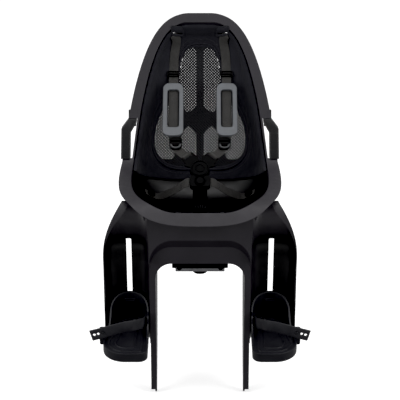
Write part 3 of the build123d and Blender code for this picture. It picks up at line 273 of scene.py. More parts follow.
def woven(name, colour, roughness, pitch):
    """Plain-woven cover cloth."""
    material, tree, shader = start(name, colour, roughness, Sheen_Weight=0.05, Sheen_Roughness=0.5,
                                   Specular_IOR_Level=0.2)
    where = coordinates(tree)
    axes = add(tree, "SeparateXYZ", {"Vector": where}).outputs
    warp = bands(tree, axes["X"], pitch)
    weft = bands(tree, calculate(tree, "SUBTRACT", axes["Z"], axes["Y"]), pitch)
    weave = calculate(tree, "MULTIPLY", warp, weft)
    fuzz = noise(tree, where, WEAVE_FUZZ, detail=3)
    height = calculate(tree, "ADD", weave, fuzz)
    shade = calculate(tree, "ADD", remap(tree, weave, -1, 1, 0, 0.6),
                      spread(tree, noise(tree, where, WEAVE_MOTTLE, detail=4), 0, 0.4))
    base = mottled(tree, shade, colour, dark=0.7, light=1.3)
    rough = spread(tree, fuzz, roughness - WEAVE_ROUGHER, min(1, roughness + WEAVE_ROUGHER))
    finish_material(tree, shader, base, rough, height, WEAVE_DEPTH, WEAVE_BUMP)
    return material


def webbing_cloth(name, colour, roughness, sheen=0.05, specular=0.25):
    """Narrow webbing: ribs along its length crossed by picks, from the ribbon's own UVs in metres."""
    material, tree, shader = start(name, colour, roughness, Sheen_Weight=sheen, Sheen_Roughness=0.45,
                                   Specular_IOR_Level=specular)
    axes = add(tree, "SeparateXYZ", {"Vector": coordinates(tree, "UV")}).outputs
    where = coordinates(tree)
    rib = bands(tree, axes["X"], RIB_PITCH)
    waved = calculate(tree, "ADD", axes["Y"], calculate(tree, "MULTIPLY", rib, PICK_WAVE))
    pick = bands(tree, waved, PICK_PITCH)
    height = calculate(tree, "ADD", rib, calculate(tree, "MULTIPLY", pick, 0.5))
    shade = calculate(tree, "ADD", remap(tree, height, -1.5, 1.5, 0, 0.7),
                      spread(tree, noise(tree, where, WEBBING_MOTTLE, detail=4), 0, 0.3))
    base = mottled(tree, shade, colour, dark=0.65, light=1.45)
    gloss = noise(tree, where, WEBBING_GLOSS, detail=2)
    rough = spread(tree, gloss, roughness - WEBBING_ROUGHER, roughness + WEBBING_ROUGHER)
    finish_material(tree, shader, base, rough, height, WEBBING_DEPTH, WEBBING_BUMP)
    return material


def rubber(name, colour, roughness):
    """Matt rubber with smudges, and edges lightened as wear and as a painted highlight."""
    material, tree, shader = start(name, colour, roughness)
    where = coordinates(tree)
    fine = noise(tree, where, RUBBER_GRAIN, detail=2)
    smudge = noise(tree, where, RUBBER_SMUDGE, detail=5)
    soft, worn_and_highlit = edges_worn_and_highlit(tree, RUBBER_EDGE, smudge)
    base = mottled(tree, spread(tree, smudge), colour, dark=0.85, light=1.15)
    # edges lightened: partly wear, partly a painted highlight on rounded edges
    base = blend_colour(tree, worn_and_highlit, base, tinted(colour, 1.4))
    rough = spread(tree, smudge, roughness - RUBBER_ROUGHER, roughness + RUBBER_ROUGHER)
    finish_material(tree, shader, base, rough, fine, RUBBER_DEPTH, RUBBER_BUMP, soft)
    return material


def plated(name, colour, roughness):
    """Zinc-plated steel with a fine drawn grain."""
    material, tree, shader = start(name, colour, roughness, Metallic=1.0)
    where = coordinates(tree)
    drawn = add(tree, "Mapping", {"Vector": where, "Scale": STEEL_DRAWN}).outputs["Vector"]
    scratch = noise(tree, drawn, 1, detail=3)
    cloud = noise(tree, where, STEEL_CLOUD, detail=4)
    soft, worn_and_highlit = edges_worn_and_highlit(tree, STEEL_EDGE, cloud)
    base = mottled(tree, spread(tree, cloud), colour, dark=0.8, light=1.15)
    # edges lightened: partly wear, partly a painted highlight on rounded edges
    base = blend_colour(tree, worn_and_highlit, base, tinted(colour, 1.3))
    rough = spread(tree, scratch, roughness - STEEL_SMOOTHER, roughness + STEEL_ROUGHER)
    finish_material(tree, shader, base, rough, scratch, STEEL_DEPTH, STEEL_BUMP, soft)
    return material


BLACK_PLASTIC = (0.0138, 0.0122, 0.0162)
looks = {
    # the shell's scoop gets painted shade and a smoother finish
    "shell": moulded("shell_plastic", BLACK_PLASTIC, 0.5, specular=0.45, polished_and_shaded=behind_rim),
    "liner": woven("liner_cloth", (0.014, 0.014, 0.018), 0.85, 0.0016),
    "mesh": woven("mesh_knit", (0.012, 0.012, 0.014), 0.8, 0.0008),
    "webbing": webbing_cloth("webbing_cloth", (0.03, 0.029, 0.028), 0.62),
    "pad": rubber("pad_rubber", (0.09, 0.096, 0.105), 0.6),
    "strap": rubber("strap_rubber", (0.014, 0.014, 0.017), 0.45),
    "fitting": moulded("fitting_plastic", (0.002, 0.002, 0.0022), 0.4, grain=900, depth=0.0001, wear_and_highlight=2.5,
                       edge=0.0007, specular=0.06),
    "footrest": moulded("footrest_plastic", (0.006, 0.006, 0.009), 0.46),
    "steel": plated("zinc_steel", (0.2, 0.2, 0.21), 0.42),
    "dark_steel": plated("black_steel", (0.05, 0.05, 0.055), 0.4),
}
# the leg channels get painted shade and a smoother finish
guard_finish = moulded("guard_plastic", BLACK_PLASTIC, 0.46, polished_and_shaded=in_leg_channel)
handle_finish = moulded("handle_plastic", (0.006, 0.006, 0.0065), 0.26, grain=700, depth=0.0001, specular=0.3)
lip_finish = moulded("lip_plastic", (0.05, 0.052, 0.056), 0.4, grain=700, depth=0.0001)
# painted shade: the crotch strap is a far darker copy of the harness webbing, with little sheen or reflection
shaded_crotch_cloth = webbing_cloth("shaded_crotch_cloth", (0.002, 0.002, 0.002), 0.8, sheen=0.0, specular=0.05)
thread = woven("thread_yarn", (0.03, 0.03, 0.033), 0.7, 0.0006)
for subpart in frame["record"]["subparts"]:
    part = nodes[subpart["node"]]
    part.data.materials.clear()
    part.data.materials.append(looks[subpart["material_slot"]])
nodes["leg_guard"].data.materials[0] = guard_finish


# Studio light: a bright ceiling that fades to a dark horizon, a pale floor's bounce, and three soft boxes

DOME_TOP, DOME_HORIZON, DOME_BOUNCE = 0.95, 0.14, 0.6
BOUNCE_STARTS, BOUNCE_ENDS = (-0.02, -0.2), (-0.32, -0.5)  # heights on the unit dome
BLACK_LEVEL = 0.008
LIGHT_TARGET = (0, 0, 0.1)
TOP_LIGHT = {"place": (0, -0.5, 2.3), "size": (2.4, 1.8), "power": 18}
SIDE_LIGHT = {"size": (1.6, 2.0), "power": 36}
SIDE_LIGHT_PLACE = (2.2, -1.4, 0.9)


def studio_dome(top, horizon, bounce):
    world = bpy.data.worlds.new("studio")
    world.use_nodes = True
    tree = world.node_tree
    height = add(tree, "SeparateXYZ", {"Vector": coordinates(tree, "Generated")}).outputs["Z"]
    backdrop = tree.nodes["Background"]
    backdrop.inputs["Color"].default_value = (1, 1, 1, 1)
    above = remap(tree, height, 0, 1, horizon, top)
    below = calculate(tree, "MULTIPLY", remap(tree, height, *BOUNCE_STARTS, 0, bounce),
                      remap(tree, height, *BOUNCE_ENDS, 1, 0))
    tree.links.new(calculate(tree, "ADD", above, below), backdrop.inputs["Strength"])
    scene.world = world


def softbox(name, place, size, power):
    light = bpy.data.lights.new(name, "AREA")
    light.shape = "RECTANGLE"
    light.size, light.size_y = size
    light.energy = power
    lamp = bpy.data.objects.new(name, light)
    lamp.location = place
    lamp.rotation_euler = look(place, LIGHT_TARGET)
    scene.collection.objects.link(lamp)


scene.view_settings.view_transform = "Standard"
scene.view_settings.use_curve_mapping = True
scene.view_settings.curve_mapping.black_level = (BLACK_LEVEL, BLACK_LEVEL, BLACK_LEVEL)
studio_dome(DOME_TOP, DOME_HORIZON, DOME_BOUNCE)
softbox("light_top", **TOP_LIGHT)
for side, sign in SIDES:
    softbox(f"light_{side}", (sign * SIDE_LIGHT_PLACE[0], *SIDE_LIGHT_PLACE[1:]), **SIDE_LIGHT)


# Mesh helpers

WELD = 0.00003


def unit(vector):
    return vector / np.linalg.norm(vector)


def new_piece(name, points, faces, slot, body="seat", material=None, uvs=None):
    mesh = bpy.data.meshes.new(name)
    mesh.from_pydata([tuple(point) for point in points], [], faces)
    mesh.polygons.foreach_set("use_smooth", [True] * len(mesh.polygons))
    if uvs is not None:
        layer = mesh.uv_layers.new(name="cloth")
        for loop in mesh.loops:
            layer.data[loop.index].uv = uvs[loop.vertex_index]
    mesh.materials.append(material or looks[slot])
    mesh.update()
    piece = bpy.data.objects.new(name, mesh)
    scene.collection.objects.link(piece)
    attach(piece, body)
    return piece


def surface_of(piece):
    """Tree of a piece's shown surface, for finding points on it."""
    shown = piece.evaluated_get(bpy.context.evaluated_depsgraph_get())
    mesh = shown.to_mesh()
    tree = BVHTree.FromPolygons([vertex.co.copy() for vertex in mesh.vertices],
                                [face.vertices[:] for face in mesh.polygons])
    shown.to_mesh_clear()
    return tree


def ring_faces(rings, sides, closed):
    """Quads between rows of rings of points, and end caps unless the row is closed."""
    faces = []
    for row in range(rings if closed else rings - 1):
        low, high = row * sides, (row + 1) % rings * sides
        for side in range(sides):
            following = (side + 1) % sides
            faces.append((low + side, low + following, high + following, high + side))
    if not closed:
        faces.append(tuple(reversed(range(sides))))
        faces.append(tuple(range((rings - 1) * sides, rings * sides)))
    return faces


def turns(count, offset=0.0):
    """Cosine and sine of evenly spaced angles round a circle."""
    for number in range(count):
        angle = 2 * math.pi * (number + offset) / count
        yield math.cos(angle), math.sin(angle)


def smooth_row(row):
    """One pass of smoothing that keeps both ends."""
    row[1:-1] = (row[:-2] + 2 * row[1:-1] + row[2:]) / 4


def smooth_ring(places, passes):
    places = np.array(places)
    for _ in range(passes):
        places = (np.roll(places, 1, 0) + 2 * places + np.roll(places, -1, 0)) / 4
    return places


# Flat webbing

SECTION_STEP, SECTION_REACH, MOST_SECTIONS = 0.0025, 0.024, 400
TIP_DEPTH, TIP_INSET = 0.004, 0.006  # what counts as a strap's tip, and where the walk starts
RIBBON_SIDES, RIBBON_SQUARENESS, RIBBON_PASSES = 28, 0.45, 3
SELVEDGE_START, SELVEDGE_END, SELVEDGE_SPAN, SELVEDGE_BULGE = 0.8, 0.99, 0.2, 0.12  # shares of half the width
STITCH_SIDES, STITCH_SHARES, STITCH_AHEAD = 6, (0, 0.12, 0.5, 0.88, 1), 0.0005
STITCH_LIFT, STITCH_SUNK = 0.75, -0.9  # shares of the thread's radius
TACK_PITCH, TACK_ROWS, TACK_REACH, TACK_POINTS = 0.0022, 3, 0.4, 9


def walk(points, edges, here, along):
    """Sections of a strap, found by walking down its length: centre, width direction, width and thickness."""
    first, second = points[edges[:, 0]], points[edges[:, 1]]
    sections = []
    while len(sections) < MOST_SECTIONS:
        ahead, behind = (first - here) @ along, (second - here) @ along
        crossing = ahead * behind < 0
        share = ahead[crossing] / (ahead[crossing] - behind[crossing])
        cut = first[crossing] + share[:, None] * (second[crossing] - first[crossing])
        cut = cut[np.linalg.norm(cut - here, axis=1) < SECTION_REACH]
        if len(cut) < 4:
            break
        middle = cut.mean(0)
        across = np.linalg.svd(cut - middle)[2][0]
        if sections and across @ sections[-1][1] < 0:
            across = -across
        face = np.cross(along, across)
        wide, deep = (cut - middle) @ across, (cut - middle) @ face
        centre = middle + across * (wide.max() + wide.min()) / 2 + face * (deep.max() + deep.min()) / 2
        if sections:
            along = unit(along + 2 * unit(centre - sections[-1][0]))
        sections.append((centre, across, np.ptp(wide), np.ptp(deep)))
        here = centre + along * SECTION_STEP
    return sections


def strap_sections(node, end):
    """Sections of a CAD strap, walked to its far end first and then back over its whole length."""
    mesh = nodes[node].data
    points = np.array([vertex.co for vertex in mesh.vertices])
    edges = np.array([edge.vertices[:] for edge in mesh.edges])
    end = unit(np.array(end, float))
    reaches = points @ end
    tip = points[reaches > reaches.max() - TIP_DEPTH].mean(0)
    there = walk(points, edges, tip - end * TIP_INSET, -end)
    turned = unit(there[-2][0] - there[-1][0])
    return walk(points, edges, there[-1][0], turned)


def ribbon(name, node, end, material=None):
    """Woven strap in the place of a CAD strap, with rounded selvedges and its own UVs."""
    sections = strap_sections(node, end)
    centres = np.array([section[0] for section in sections])
    wides = np.array([section[1] for section in sections])
    for _ in range(RIBBON_PASSES):
        smooth_row(centres)
        smooth_row(wides)
    breadth = np.median([section[2] for section in sections])
    depth = np.median([section[3] for section in sections])
    points, uvs, travelled = [], [], 0.0
    for index, (centre, wide, run) in enumerate(zip(centres, wides, np.gradient(centres, axis=0))):
        run = unit(run)
        wide = unit(wide - run * (wide @ run))
        face = np.cross(run, wide)
        if index:
            travelled += np.linalg.norm(centre - centres[index - 1])
        for cosine, sine in turns(RIBBON_SIDES, 0.5):
            over = math.copysign(abs(cosine) ** RIBBON_SQUARENESS, cosine)
            up = math.copysign(abs(sine) ** RIBBON_SQUARENESS, sine)
            swell = 0.0
            if SELVEDGE_START < abs(over) < SELVEDGE_END:
                swell = SELVEDGE_BULGE * (abs(over) - SELVEDGE_START) / SELVEDGE_SPAN
            points.append(centre + wide * over * breadth / 2 + face * up * depth / 2 * (1 + swell))
            uvs.append((over * breadth / 2, travelled))
    faces = ring_faces(len(centres), RIBBON_SIDES, False)
    piece = new_piece(name, points, faces, "webbing", material=material, uvs=uvs)
    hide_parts(node)
    return centres, wides, breadth, depth


def stitches(name, rows, slot, length=0.0032, gap=0.0016, radius=0.0004):
    """Thread stitches along rows of (place, outward direction)."""
    points, faces = [], []
    for row in rows:
        places = np.array([place for place, _ in row])
        outs = np.array([out for _, out in row])
        spans = np.concatenate([[0], np.cumsum(np.linalg.norm(np.diff(places, axis=0), axis=1))])

        def along(at, values):
            return np.array([np.interp(at, spans, values[:, axis]) for axis in range(3)])

        at = gap
        while at + length < spans[-1]:
            first = len(points)
            for share in STITCH_SHARES:
                here = at + share * length
                place, out = along(here, places), unit(along(here, outs))
                run = unit(along(here + STITCH_AHEAD, places) - place + 1e-9)
                aside = np.cross(run, out)
                lift = radius * (STITCH_LIFT if 0 < share < 1 else STITCH_SUNK)
                for cosine, sine in turns(STITCH_SIDES):
                    points.append(place + out * (lift + radius * sine) + aside * radius * cosine)
            ring = ring_faces(len(STITCH_SHARES), STITCH_SIDES, False)
            faces += [tuple(first + corner for corner in face) for face in ring]
            at += length + gap
    return new_piece(name, points, faces, slot, material=thread)


def bar_tack(sections, where, facing=(0, -1, 1)):
    """Rows of stitches across a strap at a share of its length, on the side that faces a direction."""
    centres, wides, breadth, depth = sections
    index = int(where * (len(centres) - 1))
    run = unit(centres[min(index + 1, len(centres) - 1)] - centres[max(index - 1, 0)])
    wide = unit(wides[index])
    face = np.cross(run, wide)
    if face @ np.array(facing) < 0:
        face = -face
    rows = []
    for row in range(TACK_ROWS):
        middle = centres[index] + run * (row - (TACK_ROWS - 1) / 2) * TACK_PITCH + face * depth / 2
        shares = np.linspace(-TACK_REACH, TACK_REACH, TACK_POINTS)
        rows.append([(middle + wide * breadth * share, face) for share in shares])
    return rows


sewn = []
for side, sign in SIDES:
    ribbon(f"shoulder_webbing_{side}", f"shoulder_strap_{side}", (0, -0.7, -0.7))
    ribbon(f"tongue_webbing_{side}", f"tongue_strap_{side}", (0, 0, 1))
    lap = ribbon(f"lap_webbing_{side}", f"lap_strap_{side}", (sign, 0, 0.2))
    sewn += bar_tack(lap, where=0.2)
crotch = ribbon("crotch_webbing", "crotch_strap", (0, 0, -1), shaded_crotch_cloth)
sewn += bar_tack(crotch, where=0.8) + bar_tack(crotch, where=0.55)
stitches("webbing_stitches", sewn, "webbing")


# Padded pieces

CLOTH_SETTINGS = {"quality": 6, "mass": 0.2, "tension_stiffness": 15, "compression_stiffness": 15,
                  "shear_stiffness": 8, "bending_stiffness": 1, "use_pressure": True,
                  "uniform_pressure_force": 4.0, "vertex_group_mass": "held"}
CLOTH_FRAMES = 20
PAD_PASSES = 4
HELD_BY_SHELL, HELD_BY_STRAP = 0.0045, 0.001  # points this near to what carries them stay in place


def swollen(name, node, voxel, inset, cap, held):
    """Padded copy of a CAD solid, blown up by cloth simulation; held(point) tells what stays where it is."""
    piece = bpy.data.objects.new(name, nodes[node].data.copy())
    scene.collection.objects.link(piece)
    shape = bmesh.new()
    shape.from_mesh(piece.data)
    bmesh.ops.remove_doubles(shape, verts=shape.verts, dist=WELD)
    shape.to_mesh(piece.data)
    shape.free()
    bpy.ops.object.select_all(action="DESELECT")
    piece.select_set(True)
    bpy.context.view_layer.objects.active = piece
    piece.data.remesh_voxel_size = voxel
    bpy.ops.object.voxel_remesh()
    shape = bmesh.new()
    shape.from_mesh(piece.data)
    for _ in range(PAD_PASSES):
        bmesh.ops.smooth_vert(shape, verts=shape.verts, factor=0.5, use_axis_x=True, use_axis_y=True,
                              use_axis_z=True)
    shape.normal_update()
    fixed = []
    for vertex in shape.verts:
        if held(vertex.co):
            fixed.append(vertex.index)
        else:
            vertex.co -= vertex.normal * inset
    shape.to_mesh(piece.data)
    shape.free()
    blow_up(piece, fixed, cap)
    finer = piece.modifiers.new("finer", "SUBSURF")
    finer.levels = finer.render_levels = 1
    piece.data.polygons.foreach_set("use_smooth", [True] * len(piece.data.polygons))
    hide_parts(node)
    return piece


def blow_up(piece, fixed, cap):
    """Swell a piece under pressure, no point further than the cap."""
    group = piece.vertex_groups.new(name="held")
    group.add(fixed, 1.0, "REPLACE")
    rest = np.array([vertex.co for vertex in piece.data.vertices])
    cloth = piece.modifiers.new("cloth", "CLOTH")
    for setting, value in CLOTH_SETTINGS.items():
        setattr(cloth.settings, setting, value)
    cloth.settings.effector_weights.gravity = 0
    for number in range(1, CLOTH_FRAMES + 1):
        scene.frame_set(number)
    shown = piece.evaluated_get(bpy.context.evaluated_depsgraph_get())
    moved = np.array([vertex.co for vertex in shown.data.vertices]) - rest
    length = np.linalg.norm(moved, axis=1)
    moved *= np.minimum(1, cap / np.maximum(length, 1e-9))[:, None]
    piece.modifiers.remove(cloth)
    piece.vertex_groups.remove(group)
    scene.frame_set(1)
    piece.data.vertices.foreach_set("co", (rest + moved).ravel())
    piece.data.update()


def dress_pad(piece, slot):
    piece.data.materials.clear()
    piece.data.materials.append(looks[slot])
    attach(piece, "seat")


def near(surface, reach):
    """Test of whether a point lies within reach of a surface."""
    return lambda point: surface.find_nearest(point)[3] < reach


liner = swollen("liner_pad", "back_liner", voxel=0.004, inset=0.0012, cap=0.003,
                held=near(surface_of(nodes["seat_shell"]), HELD_BY_SHELL))
for side, _ in SIDES:
    strap_surface = surface_of(bpy.data.objects[f"shoulder_webbing_{side}"])
    pad = swollen(f"shoulder_cushion_{side}", f"shoulder_pad_{side}", voxel=0.0022, inset=0.0008, cap=0.0016,
                  held=near(strap_surface, HELD_BY_STRAP))
    dress_pad(pad, "pad")
dress_pad(liner, "liner")


# Mesh window

WINDOW_LEAN = math.radians(22)
RAY_START = 0.3  # distance in front of the back from which rays set out
EDGE_POINTS, EDGE_HALVINGS, EDGE_REACH = 180, 16, 0.3
NET_PITCH, NET_OPEN, NET_DEPTH, NET_SPAN = 0.0062, 0.075, 0.0007, 0.6
PIPING_RADIUS, PIPING_OUT, PIPING_LIFT, PIPING_SIDES, PIPING_PASSES = 0.0021, 0.0012, 0.0022, 10, 6
TAPE_INNER, TAPE_OUTER, TAPE_LIFT, TAPE_THICKNESS, TAPE_PASSES = -0.0062, 0.0004, 0.0002, 0.0006, 3
PIPING_PROBE, TAPE_PROBE = 0.97, 0.985  # shares of the way to the edge at which the net's depth is read
SEAM_OUT = 0.0095

mesh_low, mesh_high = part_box("back_mesh")
mesh_surface = surface_of(nodes["back_mesh"])
up_slope = np.array((0, math.sin(WINDOW_LEAN), math.cos(WINDOW_LEAN)))
into = np.array((0, math.cos(WINDOW_LEAN), -math.sin(WINDOW_LEAN)))
window = np.array((mesh_low + mesh_high) / 2)
window[0] = 0


def on_slope(across, up):
    """Place on the window's plane."""
    return window + np.array((across, 0, 0)) + up_slope * up


def on_front(surface, across, up):
    """The first point of a surface that a ray into the seat's back meets and its normal, or nothing."""
    place, normal, _, _ = surface.ray_cast(Vector(on_slope(across, up) - into * RAY_START), Vector(into))
    return None if place is None else (np.array(place), np.array(normal))


def window_edge():
    """Points round the window as (across, up)."""
    ring = []
    for cosine, sine in turns(EDGE_POINTS):
        inner, outer = 0.0, EDGE_REACH
        for _ in range(EDGE_HALVINGS):
            middle = (inner + outer) / 2
            if on_front(mesh_surface, middle * cosine, middle * sine):
                inner = middle
            else:
                outer = middle
        ring.append((inner * cosine, inner * sine))
    return ring


def knit(pitch, open_share, depth):
    """Fine-holed net: a sheet of diamond cells that follows the CAD mesh, each with a round hole."""
    spots, places, cells = {}, [], []
    outline = [(2, 0), (1, 1), (0, 2), (-1, 1), (-2, 0), (-1, -1), (0, -2), (1, -1)]
    count = int(NET_SPAN / pitch)

    def spot(across, up):
        """Number of the outline point at quarters of the pitch across and up, or nothing off the window."""
        if (across, up) not in spots:
            found = on_front(mesh_surface, across * pitch / 4, up * pitch / 4)
            spots[across, up] = None if found is None else len(places)
            if found is not None:
                places.append(found[0])
        return spots[across, up]

    for row in range(-count, count + 1):
        for column in range(-count // 2, count // 2 + 1):
            middle = (4 * column + 2 * (row % 2), 2 * row)
            cell = [spot(middle[0] + across, middle[1] + up) for across, up in outline]
            if None not in cell:
                cells.append(cell)
    front, faces, used = list(places), [], set()
    corners = len(outline)
    total = len(places) + corners * len(cells)
    radius = math.sqrt(open_share / (2 * math.pi)) * pitch
    for cell in cells:
        middle = sum(places[corner] for corner in cell[::2]) / 4
        first = len(front)
        for corner in cell:
            front.append(middle + unit(places[corner] - middle) * radius)
        for turn in range(corners):
            here, there = cell[turn], cell[(turn + 1) % corners]
            inner, following = first + turn, first + (turn + 1) % corners
            faces.append((here, there, following, inner))
            faces.append((total + inner, total + following, total + there, total + here))
            faces.append((inner, following, total + following, total + inner))
            used.add((here, there))
    for here, there in used:
        if (there, here) not in used:
            faces.append((there, here, total + here, total + there))
    return front + [point + into * depth for point in front], faces


net = new_piece("mesh_net", *knit(NET_PITCH, NET_OPEN, NET_DEPTH), "mesh")
shape = bmesh.new()
shape.from_mesh(net.data)
bmesh.ops.delete(shape, geom=[vertex for vertex in shape.verts if not vertex.link_faces], context="VERTS")
bmesh.ops.recalc_face_normals(shape, faces=shape.faces)
shape.to_mesh(net.data)
shape.free()
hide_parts("back_mesh")

edge_ring = window_edge()


def beside_edge(across, up, shift, probe, lift):
    """Place beside a point of the window's edge, shifted outwards and lifted off the net's depth near it."""
    away = 1 + shift / math.hypot(across, up)
    share = min(away, probe)
    net_place = on_front(mesh_surface, across * share, up * share)[0]
    out = on_slope(across * away, up * away)
    return out + into * ((net_place - out) @ into - lift)


def piping():
    """Covered cord sewn round the window's edge."""
    places = smooth_ring([beside_edge(across, up, PIPING_OUT, PIPING_PROBE, PIPING_LIFT)
                          for across, up in edge_ring], PIPING_PASSES)
    ring = []
    for index, place in enumerate(places):
        run = unit(places[(index + 1) % len(places)] - places[index - 1])
        aside = unit(np.cross(run, into))
        face = np.cross(aside, run)
        for cosine, sine in turns(PIPING_SIDES):
            ring.append(place + PIPING_RADIUS * (aside * cosine + face * sine))
    return new_piece("window_piping", ring, ring_faces(len(places), PIPING_SIDES, True), "liner")


def window_tape():
    """Flat binding sewn over the net's edge, inside the piping."""
    low, high = TAPE_LIFT, TAPE_LIFT + TAPE_THICKNESS
    section = [(TAPE_OUTER, low), (TAPE_INNER, low), (TAPE_INNER, high), (TAPE_OUTER, high)]
    rings = [smooth_ring([beside_edge(across, up, shift, TAPE_PROBE, lift) for across, up in edge_ring],
                         TAPE_PASSES) for shift, lift in section]
    faces = ring_faces(len(section), len(edge_ring), True)
    return new_piece("window_tape", np.concatenate(rings), faces, "liner")


piping()
window_tape()

liner_surface = surface_of(liner)
seam = []
for across, up in edge_ring + edge_ring[:1]:
    away = 1 + SEAM_OUT / math.hypot(across, up)
    found = on_front(liner_surface, across * away, up * away)
    if found is not None:
        seam.append(found)
stitches("liner_stitches", [seam], "liner", length=0.0042, gap=0.002, radius=0.00045)


# Patches round the shoulder slots

SLOT_ASIDE, SLOT_HEIGHT = 0.048, 0.44
BESIDE_SLOT = 0.031  # distance aside at which the liner has no slot
PATCH_SAMPLES, SAMPLE_WIDE, SAMPLE_HIGH = 9, 0.024, 0.02
CUT_WIDE, CUT_HIGH = 0.014, 0.0095  # samples nearer than this fall in the slot
PATCH_POINTS, PATCH_WIDE, PATCH_HIGH, PATCH_CORNER = 48, 0.0145, 0.0095, 0.003
MOUTH_WIDE, MOUTH_LOW, MOUTH_HIGH, MOUTH_CORNER = 0.0103, 0.0026, 0.0006, 0.0009  # below the strap's top
STRAP_SEARCH, STRAP_LEVELS = 0.012, 97
PATCH_FOOT, PATCH_EDGE, MOUTH_EDGE, SEW_LIFT = 0.0001, 0.0006, 0.0009, 0.0008
SEW_WIDE, SEW_HIGH, SEW_MIDDLE = 0.9, 0.86, 0.0005

liner_cad = surface_of(nodes["back_liner"])


def fit_terms(across, up):
    return np.array([np.ones_like(across), across, up, across * up, across ** 2, up ** 2])


def rounded_ring(half_width, low, high, corner):
    """Points round an upright rectangle with round corners, as (across, up)."""
    half_height = (high - low) / 2
    return [((half_width - corner) * np.sign(cosine) + corner * cosine,
             (high + low) / 2 + (half_height - corner) * np.sign(sine) + corner * sine)
            for cosine, sine in turns(PATCH_POINTS, 0.5)]


def slot_patch(side, sign):
    """Sewn patch round a shoulder slot, on a smooth surface fitted to the liner beside it; gives its seam."""
    aside = sign * SLOT_ASIDE
    ray = Vector((sign * BESIDE_SLOT, -RAY_START, SLOT_HEIGHT))
    beside = liner_cad.ray_cast(ray, Vector((0, 1, 0)))[0]
    level = (np.array((aside, beside.y, SLOT_HEIGHT)) - window) @ up_slope
    samples = []
    for across in np.linspace(-SAMPLE_WIDE, SAMPLE_WIDE, PATCH_SAMPLES):
        for up in np.linspace(-SAMPLE_HIGH, SAMPLE_HIGH, PATCH_SAMPLES):
            found = on_front(liner_cad, aside + across, level + up)
            if found is not None and (abs(across) > CUT_WIDE or abs(up) > CUT_HIGH):
                samples.append((across, up, (found[0] - window) @ into))
    across, up, depth = np.array(samples).T
    fit = np.linalg.lstsq(fit_terms(across, up).T, depth, rcond=None)[0]

    def place(across, up, lift):
        return on_slope(aside + across, level + up) + into * (fit @ fit_terms(across, up) - lift)

    strap = surface_of(bpy.data.objects[f"shoulder_webbing_{side}"])
    strap_top = max(up for up in np.linspace(-STRAP_SEARCH, STRAP_SEARCH, STRAP_LEVELS)
                    if on_front(strap, aside, level + up) is not None)
    outer = rounded_ring(PATCH_WIDE, -PATCH_HIGH, PATCH_HIGH, PATCH_CORNER)
    mouth = rounded_ring(MOUTH_WIDE, strap_top - MOUTH_LOW, strap_top - MOUTH_HIGH, MOUTH_CORNER)
    section = [(outer, PATCH_FOOT), (outer, PATCH_EDGE), (mouth, MOUTH_EDGE), (mouth, PATCH_FOOT)]
    points = [place(*spot, lift) for ring, lift in section for spot in ring]
    new_piece(f"slot_patch_{side}", points, ring_faces(len(section), PATCH_POINTS, True), "liner")
    return [(place(across * SEW_WIDE, SEW_MIDDLE + (up - SEW_MIDDLE) * SEW_HIGH, SEW_LIFT), -into)
            for across, up in outer + outer[:1]]


stitches("slot_stitches", [slot_patch(side, sign) for side, sign in SIDES], "liner", length=0.0026,
         gap=0.0012, radius=0.0003)


# Harness details

HARNESS_SLOPE = math.radians(46.4)
LATHE_TURNS, ARC_POINTS, ARC_FOOT = 64, 9, -0.0002
BUCKLE_RAY = 0.05
DISC_UP, COLLAR_UP = 0.029, 0.0112  # distances up from the button
LOOP_TURN, LOOP_OUT, LOOP_LIFT = math.radians(50), 0.043, 0.0015
LOOP_WIDTH, LOOP_RADIUS, LOOP_STEPS, LOOP_SIDES = 0.0196, 0.0034, 9, 24
LIP_STEPS, LIP_SIDES, LIP_DOWN = 25, 10, 0.003
LIP_WIDE, LIP_HIGH, LIP_THICK, LIP_RISE, LIP_BASE = 0.0098, 0.0082, 0.0016, 0.0013, 0.0003

harness_up = np.array((0, math.cos(HARNESS_SLOPE), math.sin(HARNESS_SLOPE)))
harness_out = np.array((0, -math.sin(HARNESS_SLOPE), math.cos(HARNESS_SLOPE)))
button_low, button_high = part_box("buckle_button")
button = np.array((button_low + button_high) / 2)
button[0] = 0
body_surface = surface_of(nodes["buckle_body"])


def on_harness(across, up):
    """Offset across and up the slope of the harness."""
    return np.array((across, 0, 0)) + harness_up * up


def lathe(name, place, profile):
    """Ring-shaped moulding on a face of the harness, from a closed profile of (radius, height)."""
    points = []
    for cosine, sine in turns(LATHE_TURNS):
        away = on_harness(cosine, sine)
        points += [place + away * radius + harness_out * height for radius, height in profile]
    return new_piece(name, points, ring_faces(LATHE_TURNS, len(profile), True), "fitting")


def raised(radius, width, height):
    """Half-round profile that stands on a face."""
    ring = [(radius - width / 2, ARC_FOOT)]
    for angle in np.linspace(0, math.pi, ARC_POINTS):
        ring.append((radius - width / 2 * math.cos(angle), height * math.sin(angle)))
    return ring + [(radius + width / 2, ARC_FOOT)]


def on_buckle(up):
    """Place on the buckle's front, at a distance up from the button."""
    origin = button + harness_up * up + harness_out * BUCKLE_RAY
    return np.array(body_surface.ray_cast(Vector(origin), Vector(-harness_out))[0])


disc = on_buckle(DISC_UP)
lathe("buckle_rings", disc, raised(radius=0.0168, width=0.0026, height=0.0011))
lathe("buckle_dial", disc, raised(radius=0.0085, width=0.0022, height=0.0009))
lathe("button_collar", on_buckle(COLLAR_UP) - harness_up * COLLAR_UP,
      raised(radius=0.0102, width=0.0018, height=0.0008))


def heights(node, place):
    """How far a CAD piece's points stand out from a place on the harness."""
    return [(np.array(vertex.co) - place) @ harness_out for vertex in nodes[node].data.vertices]


